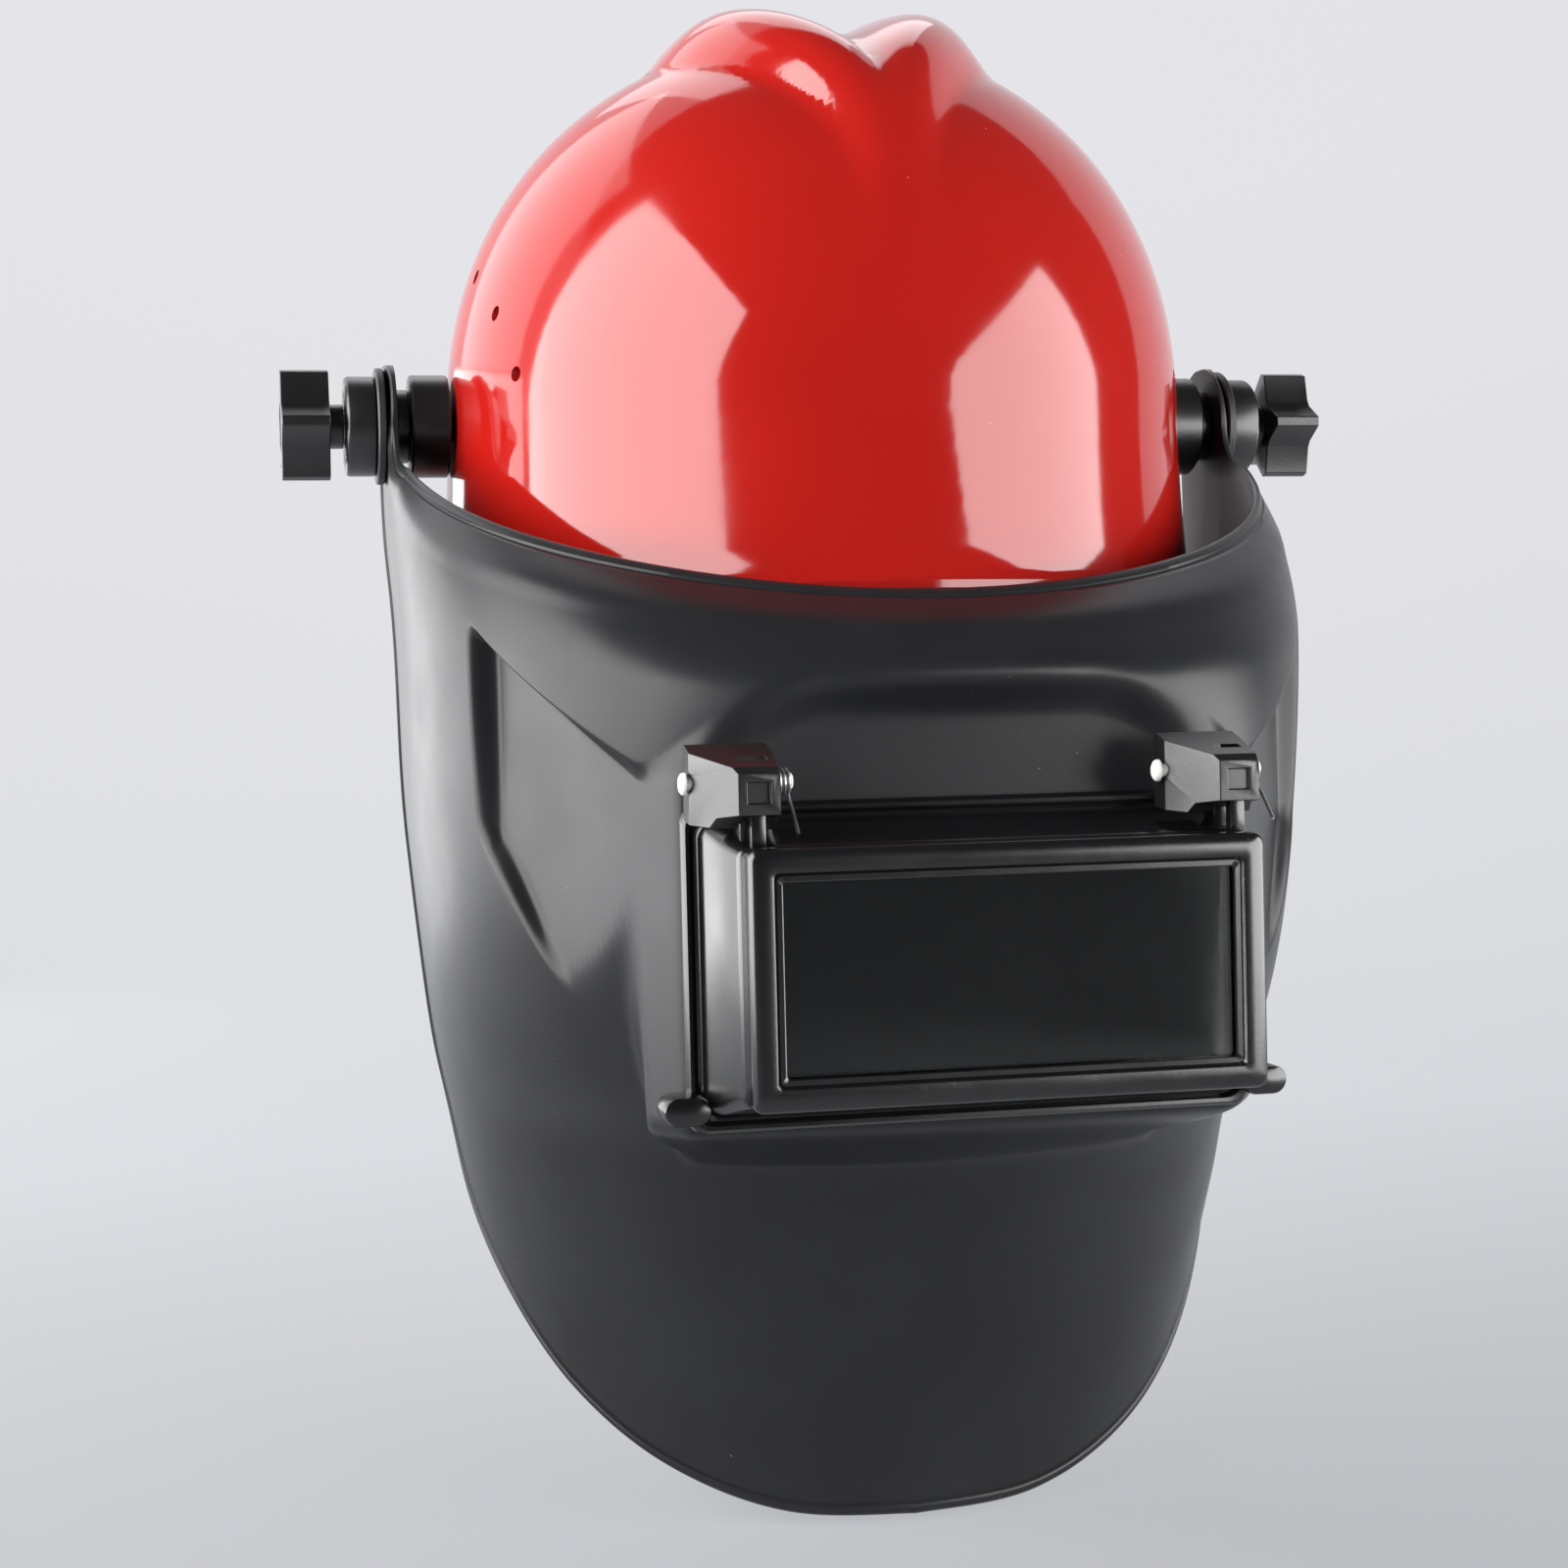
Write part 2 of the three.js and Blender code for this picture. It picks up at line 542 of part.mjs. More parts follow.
function housingGeometry() {
  const { back, front, width, height, wall, flangeOut, flange, ledge } = HOUSING;
  const outer = taperedBlock([width, height], [FLIP.width, FLIP.height], back, front);
  const inner = taperedBlock(
    [width - 2 * wall, height - 2 * wall],
    [FLIP.width - 2 * wall, FLIP.height - 2 * wall],
    back + 1,
    front - 1,
  );
  const [rimWidth, rimHeight] = [width + 2 * flangeOut, height + 2 * flangeOut];
  const rim = windowFrame(rimWidth, rimHeight, width - 5, height - 5, back - flange, back, 2);
  const seat = windowFrame(width - 3, height - 3, WINDOW.openWidth, WINDOW.openHeight, back - ledge, back);
  const tab = box(3.4, flange, 4, -1, back - flange / 2, WINDOW.z + rimHeight / 2 - 0.6);
  const lugs = [-1, 1].map((side) => plateXZ(
    roundedRect(LUG.width, LUG.height, LUG.height / 2 - 0.01), LUG.front, back, side * LUG.x, LUG.z, 5,
  ));
  const foot = WINDOW.z + FLIP.height / 2 - 0.8;
  const head = HINGE.z + HINGE.postOver;
  const posts = [-1, 1].map((side) => box(
    HINGE.postWidth, HINGE.postDepth, head - foot, side * HINGE.x, HINGE.y, (head + foot) / 2,
  ));
  const joined = join(cut(outer, inner), rim, seat, tab, ...lugs, ...posts);
  return cut(joined, rodX(HINGE.pinBore, -80, 80, HINGE.y, HINGE.z, 16));
}

// A torsion spring round the pin's end: coils, with one leg back to the housing and one to the flip frame
function hingeSpring(from) {
  const { radius, wire, turns, pitch } = SPRING;
  const points = [new THREE.Vector3(from, HINGE.y + 7, HINGE.z - 9.4)];
  const steps = turns * 8 - 2;
  for (let i = 0; i <= steps; i += 1) {
    const angle = (i / 8) * 2 * Math.PI;
    points.push(new THREE.Vector3(
      from + (i / 8) * pitch, HINGE.y + radius * Math.cos(angle), HINGE.z + radius * Math.sin(angle),
    ));
  }
  points.push(new THREE.Vector3(from + (steps / 8) * pitch, HINGE.y - 9.4, HINGE.z - 10.8));
  const path = new THREE.CatmullRomCurve3(points, false, 'centripetal');
  const corners = [[wire, 0], [0, wire], [-wire, 0], [0, -wire]];
  const section = new THREE.Shape(corners.map(([a, b]) => new THREE.Vector2(a, b)));
  return new THREE.ExtrudeGeometry(section, { extrudePath: path, steps: 34, bevelEnabled: false });
}

function addHousing() {
  addPart('window_housing', housingGeometry(), MATERIALS.frameBlack);
  const ledgeFront = HOUSING.back - HOUSING.ledge;
  const { width, height, corner } = PLATE;
  const outline = roundedRect(width, height, corner);
  const plate = plateXZ(outline, ledgeFront - GAP - 2, ledgeFront - GAP, 0, WINDOW.z, 2);
  addPart('safety_plate', plate, MATERIALS.clearPlate);
  const retainer = windowFrame(
    width + 5, height + 4, width - 9, height - 8, ledgeFront - 4.2, ledgeFront - 2.6,
  );
  addPart('safety_plate_retainer', retainer, MATERIALS.knobBlack);
  const clampBack = MASK.centreY - FACET.frontReach + MASK.wall + GAP;
  const clamp = windowFrame(
    CLAMP.width,
    CLAMP.height,
    WINDOW.openWidth + 3,
    WINDOW.openHeight + 5,
    clampBack,
    clampBack + CLAMP.thick,
  );
  addPart('clamp_frame', clamp, MATERIALS.knobBlack);
  Object.entries(PINS).forEach(([name, [from, to]]) => {
    const side = name === 'left' ? 1 : -1;
    addPart(`hinge_pin_${name}`, rodX(HINGE.pinRadius, from, to, HINGE.y, HINGE.z, 16), MATERIALS.pinWhite);
    const springFrom = side * HINGE.x + HINGE.inner + 0.9;
    addPart(`hinge_spring_${name}`, hingeSpring(springFrom), MATERIALS.steel);
  });
}

// ---------- filter window: the flip-up front ----------

function flipFrameGeometry() {
  const { width, height, depth, wall, face, beadWidth, beadDepth } = FLIP;
  const { front, openWidth, openHeight } = WINDOW;
  const walls = windowFrame(
    width, height, width - 2 * wall, height - 2 * wall, front + 0.5, front + depth, 2,
  );
  const facePlate = windowFrame(width, height, openWidth, openHeight, front, front + face, 2);
  const rebate = windowFrame(
    width - 2 * beadWidth,
    height - 2 * beadWidth,
    openWidth - 1,
    openHeight - 1,
    front - 1,
    front + beadDepth,
    1.2,
  );
  const foot = WINDOW.z + height / 2 - 1;
  const pegs = [-1, 1].map((side) => box(
    HINGE.peg, HINGE.peg, HINGE.pegTop - foot, side * HINGE.x, HINGE.pegY, (HINGE.pegTop + foot) / 2,
  ));
  return cut(join(walls, facePlate, ...pegs), rebate);
}

// A vertical prism outside the straight line between two [x, y] points, as a cutting tool
function wedge(x, from, to, outside) {
  const corners = [from, to, [outside, to[1]], [outside, from[1]]];
  const points = corners.map(([px, py]) => new THREE.Vector2(px, py));
  const prism = new THREE.ExtrudeGeometry(new THREE.Shape(points), { depth: 30, bevelEnabled: false });
  return prism.translate(x, HINGE.y, HINGE.z - 15);
}

// The block that turns on the pin: wide behind, narrow in front, hollow for the post and the peg
function hingeArmGeometry(x) {
  const { y, z, slot, peg, pegY, pegTop, outer, inner, shoulder, front, frontFrom, frontTo } = HINGE;
  const profile = [
    [6, 7], [4.6, 8.2], [front + 1.4, 3.4], [front, 2], [front, -6.6],
    [-7, -7.2], [-5.4, -9.2], [5.4, -8], [6, -7],
  ].map(([py, pz]) => new THREE.Vector2(y + py, z + pz));
  const block = plateYZ(new THREE.Shape(profile), x + outer, x + inner);
  const past = (corner, end) => [end[0] + (end[0] - corner[0]) * 0.1, end[1] + (end[1] - corner[1]) * 0.1];
  const slants = [
    [[outer, shoulder], [frontFrom, front], outer - 3],
    [[inner, shoulder], [frontTo, front], inner + 3],
  ];
  const wedges = slants.map(([corner, end, outside]) => wedge(x, corner, past(corner, end), outside));
  const hollow = box(slot, 14, 20, x, y + 0.8, z - 4.6);
  const pinHole = rodX(HINGE.pinBore, x + outer - 1, x + inner + 1, y, z, 16);
  const socket = box(peg + 2 * GAP, peg + 2 * GAP, 8, x, pegY, pegTop + GAP - 4);
  const recess = box(5, 2.4, 4.4, x + 0.2, y + front, z - 2);
  return cut(block, ...wedges, hollow, pinHole, socket, recess);
}

function addFlipFront() {
  addPart('flip_frame', flipFrameGeometry(), MATERIALS.frameBlack);
  const { width, height, corner } = PLATE;
  const layers = [
    ['cover_plate', 1.2, 0, MATERIALS.clearPlate],
    ['filter_gasket', 0.8, 3, MATERIALS.gasketRubber],
    ['filter_glass', 3, 0, MATERIALS.filterGlass],
    ['filter_retainer', 1, 4, MATERIALS.steel],
  ];
  let front = WINDOW.front + FLIP.face + GAP;
  layers.forEach(([name, thick, border, material]) => {
    const shape = border > 0
      ? windowFrame(width, height, width - 2 * border, height - 2 * border, front, front + thick)
      : plateXZ(roundedRect(width, height, corner), front, front + thick, 0, WINDOW.z, 2);
    addPart(name, shape, material);
    front += thick + GAP;
  });
  addPart('hinge_arm_right', hingeArmGeometry(-HINGE.x), MATERIALS.knobBlack);
  addPart('hinge_arm_left', hingeArmGeometry(HINGE.x), MATERIALS.knobBlack);
}

// ---------- headgear ----------

// A point of the headband. bearing: 0 at the front, 180 at the nape; out: distance outside the
// band's inner face
function bandPoint(bearing, up, out) {
  const fromFront = Math.min(Math.abs(bearing), 360 - Math.abs(bearing));
  const drop = BAND.napeDrop * smooth(95, 150, fromFront);
  return new THREE.Vector3(
    (BAND.halfWidth + out) * Math.sin(bearing * DEG),
    BAND.centreY - (BAND.halfLength + out) * Math.cos(bearing * DEG),
    BAND.z - drop + up,
  );
}

function bandPiece(fromBearing, toBearing, height, inside, outside, columns) {
  const grid = (out) => [1, -1].map((end) => [...Array(columns + 1)].map((_, c) => bandPoint(
    mix(fromBearing, toBearing, c / columns), (end * height) / 2, out,
  )));
  return skin(grid(outside), grid(inside));
}

// An upright cylinder that follows the band, as a cutting tool
function bandCylinder(out, from, to) {
  return new THREE.CylinderGeometry(1, 1, to - from, 60).rotateX(Math.PI / 2)
    .scale(BAND.halfWidth + out, BAND.halfLength + out, 1).translate(0, BAND.centreY, (from + to) / 2);
}

// A webbing strap that arches over the head, turned about Z
function strapGeometry(turn, lift) {
  const columns = 20;
  const rise = STRAP.top - STRAP.foot + lift;
  const grid = (out) => [-1, 1].map((end) => [...Array(columns + 1)].map((_, c) => {
    const angle = mix(-90, 90, c / columns) * DEG;
    const point = new THREE.Vector3(
      (end * STRAP.width) / 2,
      (STRAP.halfRun + out) * Math.sin(angle),
      STRAP.foot + (rise + out) * Math.cos(angle),
    );
    point.applyAxisAngle(new THREE.Vector3(0, 0, 1), turn * DEG);
    return point.add(new THREE.Vector3(0, BAND.centreY, 0));
  }));
  return skin(grid(STRAP.wall), grid(0));
}

// The key that fills the space between the headband and the shell where a strap ends
function keyGeometry(bearing) {
  const [out, up] = [(KEY.to + KEY.from) / 2, (KEY.top + KEY.foot) / 2];
  const key = box(KEY.width, KEY.to - KEY.from, KEY.top - KEY.foot, 0, -out, up)
    .rotateZ(bearing * DEG).translate(0, BAND.centreY, 0);
  const insideShell = solidOf(key).intersect(solidOf(shellSolid(SHELL.wall + GAP, 1.1)));
  return geometryOf(insideShell.subtract(solidOf(bandCylinder(BAND.wall + GAP, KEY.foot - 5, KEY.top + 5))));
}

function addHeadgear() {
  const band = bandPiece(-BAND.end, BAND.end, BAND.height, 0, BAND.wall, 56);
  addPart('headband', band, MATERIALS.suspensionBlack);
  const { reach, height, wall } = SWEATBAND;
  const foam = bandPiece(-reach, reach, height, -GAP - wall, -GAP, 24);
  addPart('sweatband', foam, MATERIALS.foam);
  addPart('crown_strap_lower', strapGeometry(STRAP.spread, 0), MATERIALS.webbing);
  addPart('crown_strap_upper', strapGeometry(-STRAP.spread, STRAP.crossing), MATERIALS.webbing);
  const keys = { front_left: 45, front_right: -45, rear_left: 135, rear_right: -135 };
  Object.entries(keys).forEach(([name, bearing]) => {
    addPart(`suspension_key_${name}`, keyGeometry(bearing), MATERIALS.suspensionBlack);
  });
}

// A round shape with square grips or teeth
function toothedShape(radius, teeth, depth) {
  return new THREE.Shape([...Array(teeth * 4)].map((_, i) => {
    const reach = radius - (i % 4 < 2 ? 0 : depth);
    const angle = (i / (teeth * 4)) * 2 * Math.PI;
    return new THREE.Vector2(reach * Math.cos(angle), reach * Math.sin(angle));
  }));
}

function ratchetHousing() {
  const { z, width, height, front, back, slot, frontWall, pocket, pinion } = RATCHET;
  const block = plateXZ(roundedRect(width, height, 6), front, back, 0, z, 5);
  const headSide = bandCylinder(slot[0] - frontWall, z - height, z + height);
  const half = BAND.height / 2 + 0.6;
  const slotRing = solidOf(bandCylinder(slot[1], z - half, z + half))
    .subtract(solidOf(bandCylinder(slot[0], z - height, z + height)));
  const pocketHole = rodY(pocket, pinion[0] - 2, back + 1, 0, z, 24);
  return geometryOf(solidOf(cut(block, headSide, pocketHole)).subtract(slotRing));
}

function addRatchet() {
  const { z, width, height, cover, knob, pinion, shaftRadius } = RATCHET;
  addPart('ratchet_housing', ratchetHousing(), MATERIALS.suspensionBlack);
  const coverPlate = plateXZ(roundedRect(width, height, 6), ...cover, 0, z, 5);
  const shaftHole = rodY(shaftRadius + 0.2, cover[0] - 1, cover[1] + 1, 0, z);
  addPart('ratchet_cover', cut(coverPlate, shaftHole), MATERIALS.suspensionBlack);
  const cap = plateXZ(toothedShape(RATCHET.knobRadius, RATCHET.grips, RATCHET.gripDepth), ...knob, 0, z);
  const shaft = rodY(shaftRadius, pinion[1] + GAP, knob[0] + 1, 0, z);
  addPart('ratchet_knob', join(cap, shaft), MATERIALS.knobBlack);
  const gear = toothedShape(RATCHET.pinionRadius, RATCHET.teeth, RATCHET.toothDepth);
  addPart('ratchet_pinion', plateXZ(gear, ...pinion, 0, z), MATERIALS.steel);
  const outside = RATCHET.slot[0] - RATCHET.frontWall - GAP;
  const pad = bandPiece(
    180 - NAPE_PAD.reach, 180 + NAPE_PAD.reach, NAPE_PAD.height, outside - NAPE_PAD.thick, outside, 10,
  );
  addPart('nape_pad', pad, MATERIALS.foam);
}

addPart('helmet_shell', shellGeometry(), MATERIALS.shellRed);
addPart('face_mask', maskGeometry(), MATERIALS.maskBlack);
addPivot('left', 0);
addPivot('right', Math.PI);
addHousing();
addFlipFront();
addHeadgear();
addRatchet();

export default helmet;
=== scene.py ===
"""Looks of the welding helmet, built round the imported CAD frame.

Lengths are millimetres unless a comment says m. Materials, lights and the backdrop are in m.
"""
import json
import math

import bmesh
import bpy
import numpy as np
from mathutils import Matrix, Vector


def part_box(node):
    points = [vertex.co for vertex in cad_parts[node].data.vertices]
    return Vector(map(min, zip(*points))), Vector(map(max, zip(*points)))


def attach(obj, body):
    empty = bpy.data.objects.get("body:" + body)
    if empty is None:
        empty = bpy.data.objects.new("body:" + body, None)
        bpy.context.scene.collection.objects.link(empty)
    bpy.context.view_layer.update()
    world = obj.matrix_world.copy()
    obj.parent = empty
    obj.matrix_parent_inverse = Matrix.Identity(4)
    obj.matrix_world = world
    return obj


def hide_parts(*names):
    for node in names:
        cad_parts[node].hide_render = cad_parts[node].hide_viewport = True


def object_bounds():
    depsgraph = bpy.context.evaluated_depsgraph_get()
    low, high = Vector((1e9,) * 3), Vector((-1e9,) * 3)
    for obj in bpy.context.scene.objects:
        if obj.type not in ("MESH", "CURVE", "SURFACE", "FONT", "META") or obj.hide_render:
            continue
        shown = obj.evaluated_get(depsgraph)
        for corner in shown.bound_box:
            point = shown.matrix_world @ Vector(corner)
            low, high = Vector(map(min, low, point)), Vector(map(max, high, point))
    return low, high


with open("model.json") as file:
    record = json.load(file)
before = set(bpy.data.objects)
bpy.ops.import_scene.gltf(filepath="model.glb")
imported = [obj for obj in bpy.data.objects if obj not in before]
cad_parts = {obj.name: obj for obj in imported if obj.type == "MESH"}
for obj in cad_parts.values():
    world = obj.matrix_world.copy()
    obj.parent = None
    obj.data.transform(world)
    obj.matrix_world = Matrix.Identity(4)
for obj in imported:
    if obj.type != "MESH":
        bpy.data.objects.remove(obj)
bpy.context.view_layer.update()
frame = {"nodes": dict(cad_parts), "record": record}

MM = 0.001
SIDES = {"left": 1, "right": -1}

# Helmet shell, as in the CAD
SHELL = dict(half_width=98, front=112, back=119, centre_y=3, height=101, roundness=2.15,
             rim_z=-50, flare=3, wall=2.4, gutter=4, gutter_height=2.6)
CREST = dict(spread=24, keel_half=12, ridge_half=22, height=9, sharpness=1.3, valley=0.15, valley_width=1.6,
             rise=(12, 50), split=(25, 75), fade=(110, 160), blend=6)
VENT_RADIUS = 1.9
VENTS = [(61.5, 3.5), (68.5, 12.5), (81, 20)]

# Face mask: height, half width, forward reach and squareness of each section, as in the CAD
MASK_CENTRE_Y = -14
MASK_WALL = 2.4
LIP_TOP, LIP_DROP = -7, 42
EAR_RADIUS = 16
EAR_ALONG = 194
SECTIONS = np.array([
    (20, 115, 108, 2.0), (-46, 115, 109, 2.05), (-60, 115, 126, 2.3), (-74, 114.5, 138, 2.4),
    (-104, 112, 139, 2.4), (-135, 109.5, 134, 2.35), (-160, 107, 123, 2.2), (-180, 103.5, 104, 2.0),
    (-200, 100.5, 93, 2.0), (-222, 96, 84, 2.0), (-244, 92, 77.5, 2.0), (-262, 89.5, 74, 2.0),
    (-280, 88, 73, 2.0),
], float)
RIM = np.array([
    (0, -273), (25, -271), (46, -261), (62, -245), (74, -225), (82.5, -206), (89, -182),
    (94, -150), (98.5, -110), (101.5, -70), (104, -30), (105, 0),
], float)
FRONT_REACH, CHEEK_REACH, CHEEK_BEARING = 129, 121, 59
PANEL_EDGE, EDGE_HALF = 53.5, 1.5
TOP_STEP, FOOT_STEP = 4.0, 8.0
PLATFORM_FOOT = -167
BROW_TOP, BROW_STEP = -72, 16

# Filter window and its hinges
WINDOW_Z = -132.5
OPENING = (49, 20.25)
MASK_WINDOW = (50, 22.25)
HINGE = dict(x=52.5, y=-160, z=-92, arm_inner=5.3, spring_gap=0.9)
SPRING = dict(radius=2.6, wire=0.35, turns=2.75, pitch=0.95, steps=32)
LUG = dict(x=65.4, z=-162, width=10.4, height=6.4, front=-153, back=-143.3)

# Pivots and soft pads
BOLT_BORE = 4.3
MASK_BORE = 5
BOLT_REACH = 130
SWEATBAND_REACH = 78
NAPE_PAD_REACH = 21


# ---------- numbers ----------

def clamp01(t):
    return np.clip(t, 0, 1)


def smooth(start, end, value):
    t = clamp01((value - start) / (end - start))
    return t * t * (3 - 2 * t)


def mix(a, b, t):
    return a + (b - a) * t


def soft_min(a, b, radius):
    h = clamp01(0.5 + 0.5 * (b - a) / radius)
    return mix(b, a, h) - radius * h * (1 - h)


def radians(degrees):
    return np.radians(degrees)


# ---------- node materials ----------

class Graph:
    """A material's node tree with short calls to add nodes to it."""

    def __init__(self, name):
        self.material = bpy.data.materials.new(name)
        self.material.use_nodes = True
        self.nodes = self.material.node_tree.nodes
        self.links = self.material.node_tree.links
        self.shader = self.nodes["Principled BSDF"]
        self.place = self.nodes.new("ShaderNodeTexCoord").outputs["Object"]

    def wire(self, source, target):
        self.links.new(source, target)

    def noise(self, scale, detail=4.0, rough=0.55, stretch=None, distortion=0.0):
        node = self.nodes.new("ShaderNodeTexNoise")
        node.inputs["Scale"].default_value = scale
        node.inputs["Detail"].default_value = detail
        node.inputs["Roughness"].default_value = rough
        node.inputs["Distortion"].default_value = distortion
        self.wire(self.stretched(stretch), node.inputs["Vector"])
        return node.outputs["Fac"]

    def stretched(self, stretch):
        if stretch is None:
            return self.place
        turn, scale = stretch
        node = self.nodes.new("ShaderNodeMapping")
        node.inputs["Rotation"].default_value = turn
        node.inputs["Scale"].default_value = scale
        self.wire(self.place, node.inputs["Vector"])
        return node.outputs["Vector"]

    def specks(self, scale, size):
        """White specks no wider than size cells, scattered on the surface."""
        node = self.nodes.new("ShaderNodeTexVoronoi")
        node.inputs["Scale"].default_value = scale
        self.wire(self.place, node.inputs["Vector"])
        return self.ramp(node.outputs["Distance"], [(0.0, 1.0), (size, 0.0)])

    def sparse_dust(self, scale, size):
        """Fine specks in about a third of the cells."""
        chosen = self.ramp(self.noise(scale / 9, 2), [(0.47, 0.0), (0.56, 1.0)])
        return self.math("MULTIPLY", self.specks(scale, size), chosen)

    def ramp(self, source, stops):
        node = self.nodes.new("ShaderNodeValToRGB")
        elements = node.color_ramp.elements
        while len(elements) < len(stops):
            elements.new(0.5)
        for element, (position, value) in zip(elements, stops):
            element.position = position
            colour = value if isinstance(value, tuple) else (value, value, value)
            element.color = (*colour, 1)
        self.wire(source, node.inputs["Fac"])
        return node.outputs["Color"]

    def math(self, operation, a, b):
        node = self.nodes.new("ShaderNodeMath")
        node.operation = operation
        node.use_clamp = True
        for socket, value in zip(node.inputs, (a, b)):
            if hasattr(value, "links"):
                self.wire(value, socket)
            else:
                socket.default_value = value
        return node.outputs["Value"]

    def blend(self, amount, first, second):
        node = self.nodes.new("ShaderNodeMix")
        node.data_type = "RGBA"
        sockets = [node.inputs[0], node.inputs[6], node.inputs[7]]
        for socket, value in zip(sockets, (amount, first, second)):
            if hasattr(value, "links"):
                self.wire(value, socket)
            else:
                socket.default_value = value if isinstance(value, float) else (*value, 1)
        return node.outputs[2]

    def bump(self, height, distance, strength=1.0, below=None):
        node = self.nodes.new("ShaderNodeBump")
        node.inputs["Strength"].default_value = strength
        node.inputs["Distance"].default_value = distance
        self.wire(height, node.inputs["Height"])
        if below is not None:
            self.wire(below, node.inputs["Normal"])
        return node.outputs["Normal"]

    def finish(self, colour=None, rough=None, normal=None, **values):
        if colour is not None:
            self.wire(colour, self.shader.inputs["Base Color"])
        if rough is not None:
            self.wire(rough, self.shader.inputs["Roughness"])
        if normal is not None:
            self.wire(normal, self.shader.inputs["Normal"])
        for name, value in values.items():
            self.shader.inputs[name.replace("_", " ")].default_value = value
        return self.material


def shell_paint():
    g = Graph("shell_red_gloss")
    clouds = g.ramp(g.noise(14, 3), [(0.3, (0.345, 0.0080, 0.0054)), (0.7, (0.375, 0.0100, 0.0066))])
    dust = g.sparse_dust(95, 0.028)
    colour = g.blend(dust, clouds, (0.62, 0.40, 0.36))
    smear = g.ramp(g.noise(22, 4), [(0.35, 0.06), (0.75, 0.14)])
    rough = g.math("ADD", smear, g.math("MULTIPLY", dust, 0.4))
    peel = g.bump(g.noise(130, 2), 0.00003)
    return g.finish(colour, rough, peel, Specular_IOR_Level=0.5, Coat_Weight=0.15, Coat_Roughness=0.04)


def moulded(name, dark, light, rough_low, rough_high, grain, dusty=1.0, rubbed=0.03, specular=0.8):
    """Black moulded plastic: faint mottling, hairline rubs in the gloss and a few specks of dust."""
    g = Graph(name)
    base = g.ramp(g.noise(30, 5), [(0.3, (dark, dark, dark * 1.1)),
                                   (0.75, (light, light * 1.04, light * 1.16))])
    specks = g.math("MAXIMUM", g.sparse_dust(110, 0.024), g.sparse_dust(190, 0.022))
    dust = g.math("MULTIPLY", specks, dusty)
    colour = g.blend(dust, base, (0.30, 0.31, 0.33))
    lines = g.noise(90, 6, 0.7, ((0.4, 0.9, 0.2), (1, 22, 1)), 0.3)
    hairlines = g.ramp(lines, [(0.60, 0.0), (0.63, rubbed), (0.65, 0.0)])
    mottled = g.ramp(g.noise(45, 4), [(0.3, rough_low), (0.75, rough_high)])
    rough = g.math("ADD", g.math("ADD", mottled, hairlines), g.math("MULTIPLY", dust, 0.3))
    normal = g.bump(g.noise(900, 3), grain, 1.0, g.bump(lines, 0.00001, 0.25))
    return g.finish(colour, rough, normal, Specular_IOR_Level=specular)


def dark_filter():
    g = Graph("filter_dark")
    tint = g.ramp(g.noise(18, 4), [(0.3, (0.002, 0.003, 0.003)), (0.75, (0.005, 0.006, 0.006))])
    rough = g.ramp(g.noise(26, 6), [(0.4, 0.03), (0.8, 0.12)])
    return g.finish(tint, rough, Specular_IOR_Level=0.6)


def clear_sheet():
    g = Graph("clear_sheet")
    smudge = g.ramp(g.noise(24, 6), [(0.45, 0.0), (0.85, 0.09)])
    tint = g.ramp(g.noise(12, 2), [(0.3, (0.90, 0.93, 0.93)), (0.7, (0.94, 0.96, 0.95))])
    return g.finish(tint, smudge, Transmission_Weight=1.0, IOR=1.45)


def metal(name, dark, light, rough):
    g = Graph(name)
    turned = g.noise(240, 3, 0.6, ((0, 0, 0), (6, 1, 1)))
    colour = g.ramp(turned, [(0.3, dark), (0.7, light)])
    spread = g.ramp(g.noise(60, 4), [(0.3, rough - 0.08), (0.7, rough + 0.1)])
    return g.finish(colour, spread, g.bump(turned, 0.00002, 0.5), Metallic=1.0)


def pin_plastic():
    g = Graph("pin_white")
    colour = g.ramp(g.noise(120, 4), [(0.3, (0.70, 0.69, 0.65)), (0.7, (0.84, 0.83, 0.80))])
    return g.finish(colour, g.ramp(g.noise(80, 3), [(0.3, 0.35), (0.7, 0.5)]))


def foam_skin():
    g = Graph("foam")
    cells = g.specks(900, 0.5)
    colour = g.ramp(g.noise(70, 5), [(0.3, (0.030, 0.030, 0.033)), (0.7, (0.055, 0.055, 0.060))])
    normal = g.bump(cells, 0.0003, 0.7, g.bump(g.noise(120, 4), 0.0004, 0.5))
    return g.finish(colour, g.ramp(cells, [(0.0, 0.85), (1.0, 0.97)]), normal, Sheen_Weight=0.3)


def webbing():
    """Woven polyester: ribs along the strap and picks across it, read from the strap's own UV in metres."""
    g = Graph("webbing")
    uv = g.nodes.new("ShaderNodeUVMap")
    waves = []
    for direction, scale in (("X", 420.0), ("Y", 700.0)):
        wave = g.nodes.new("ShaderNodeTexWave")
        wave.bands_direction = direction
        wave.inputs["Scale"].default_value = scale
        wave.inputs["Distortion"].default_value = 0.15
        g.wire(uv.outputs["UV"], wave.inputs["Vector"])
        waves.append(wave.outputs["Fac"])
    weave = g.math("MULTIPLY", *waves)
    colour = g.ramp(weave, [(0.0, (0.020, 0.020, 0.023)), (1.0, (0.085, 0.085, 0.092))])
    return g.finish(colour, g.ramp(weave, [(0.0, 0.95), (1.0, 0.8)]), g.bump(weave, 0.0003, 0.9),
                    Sheen_Weight=0.25)


def gasket():
    g = Graph("gasket")
    colour = g.ramp(g.noise(80, 4), [(0.3, (0.012, 0.012, 0.012)), (0.7, (0.022, 0.022, 0.023))])
    rough = g.ramp(g.noise(60, 3), [(0.3, 0.7), (0.7, 0.9)])
    return g.finish(colour, rough, g.bump(g.noise(700, 2), 0.00005))


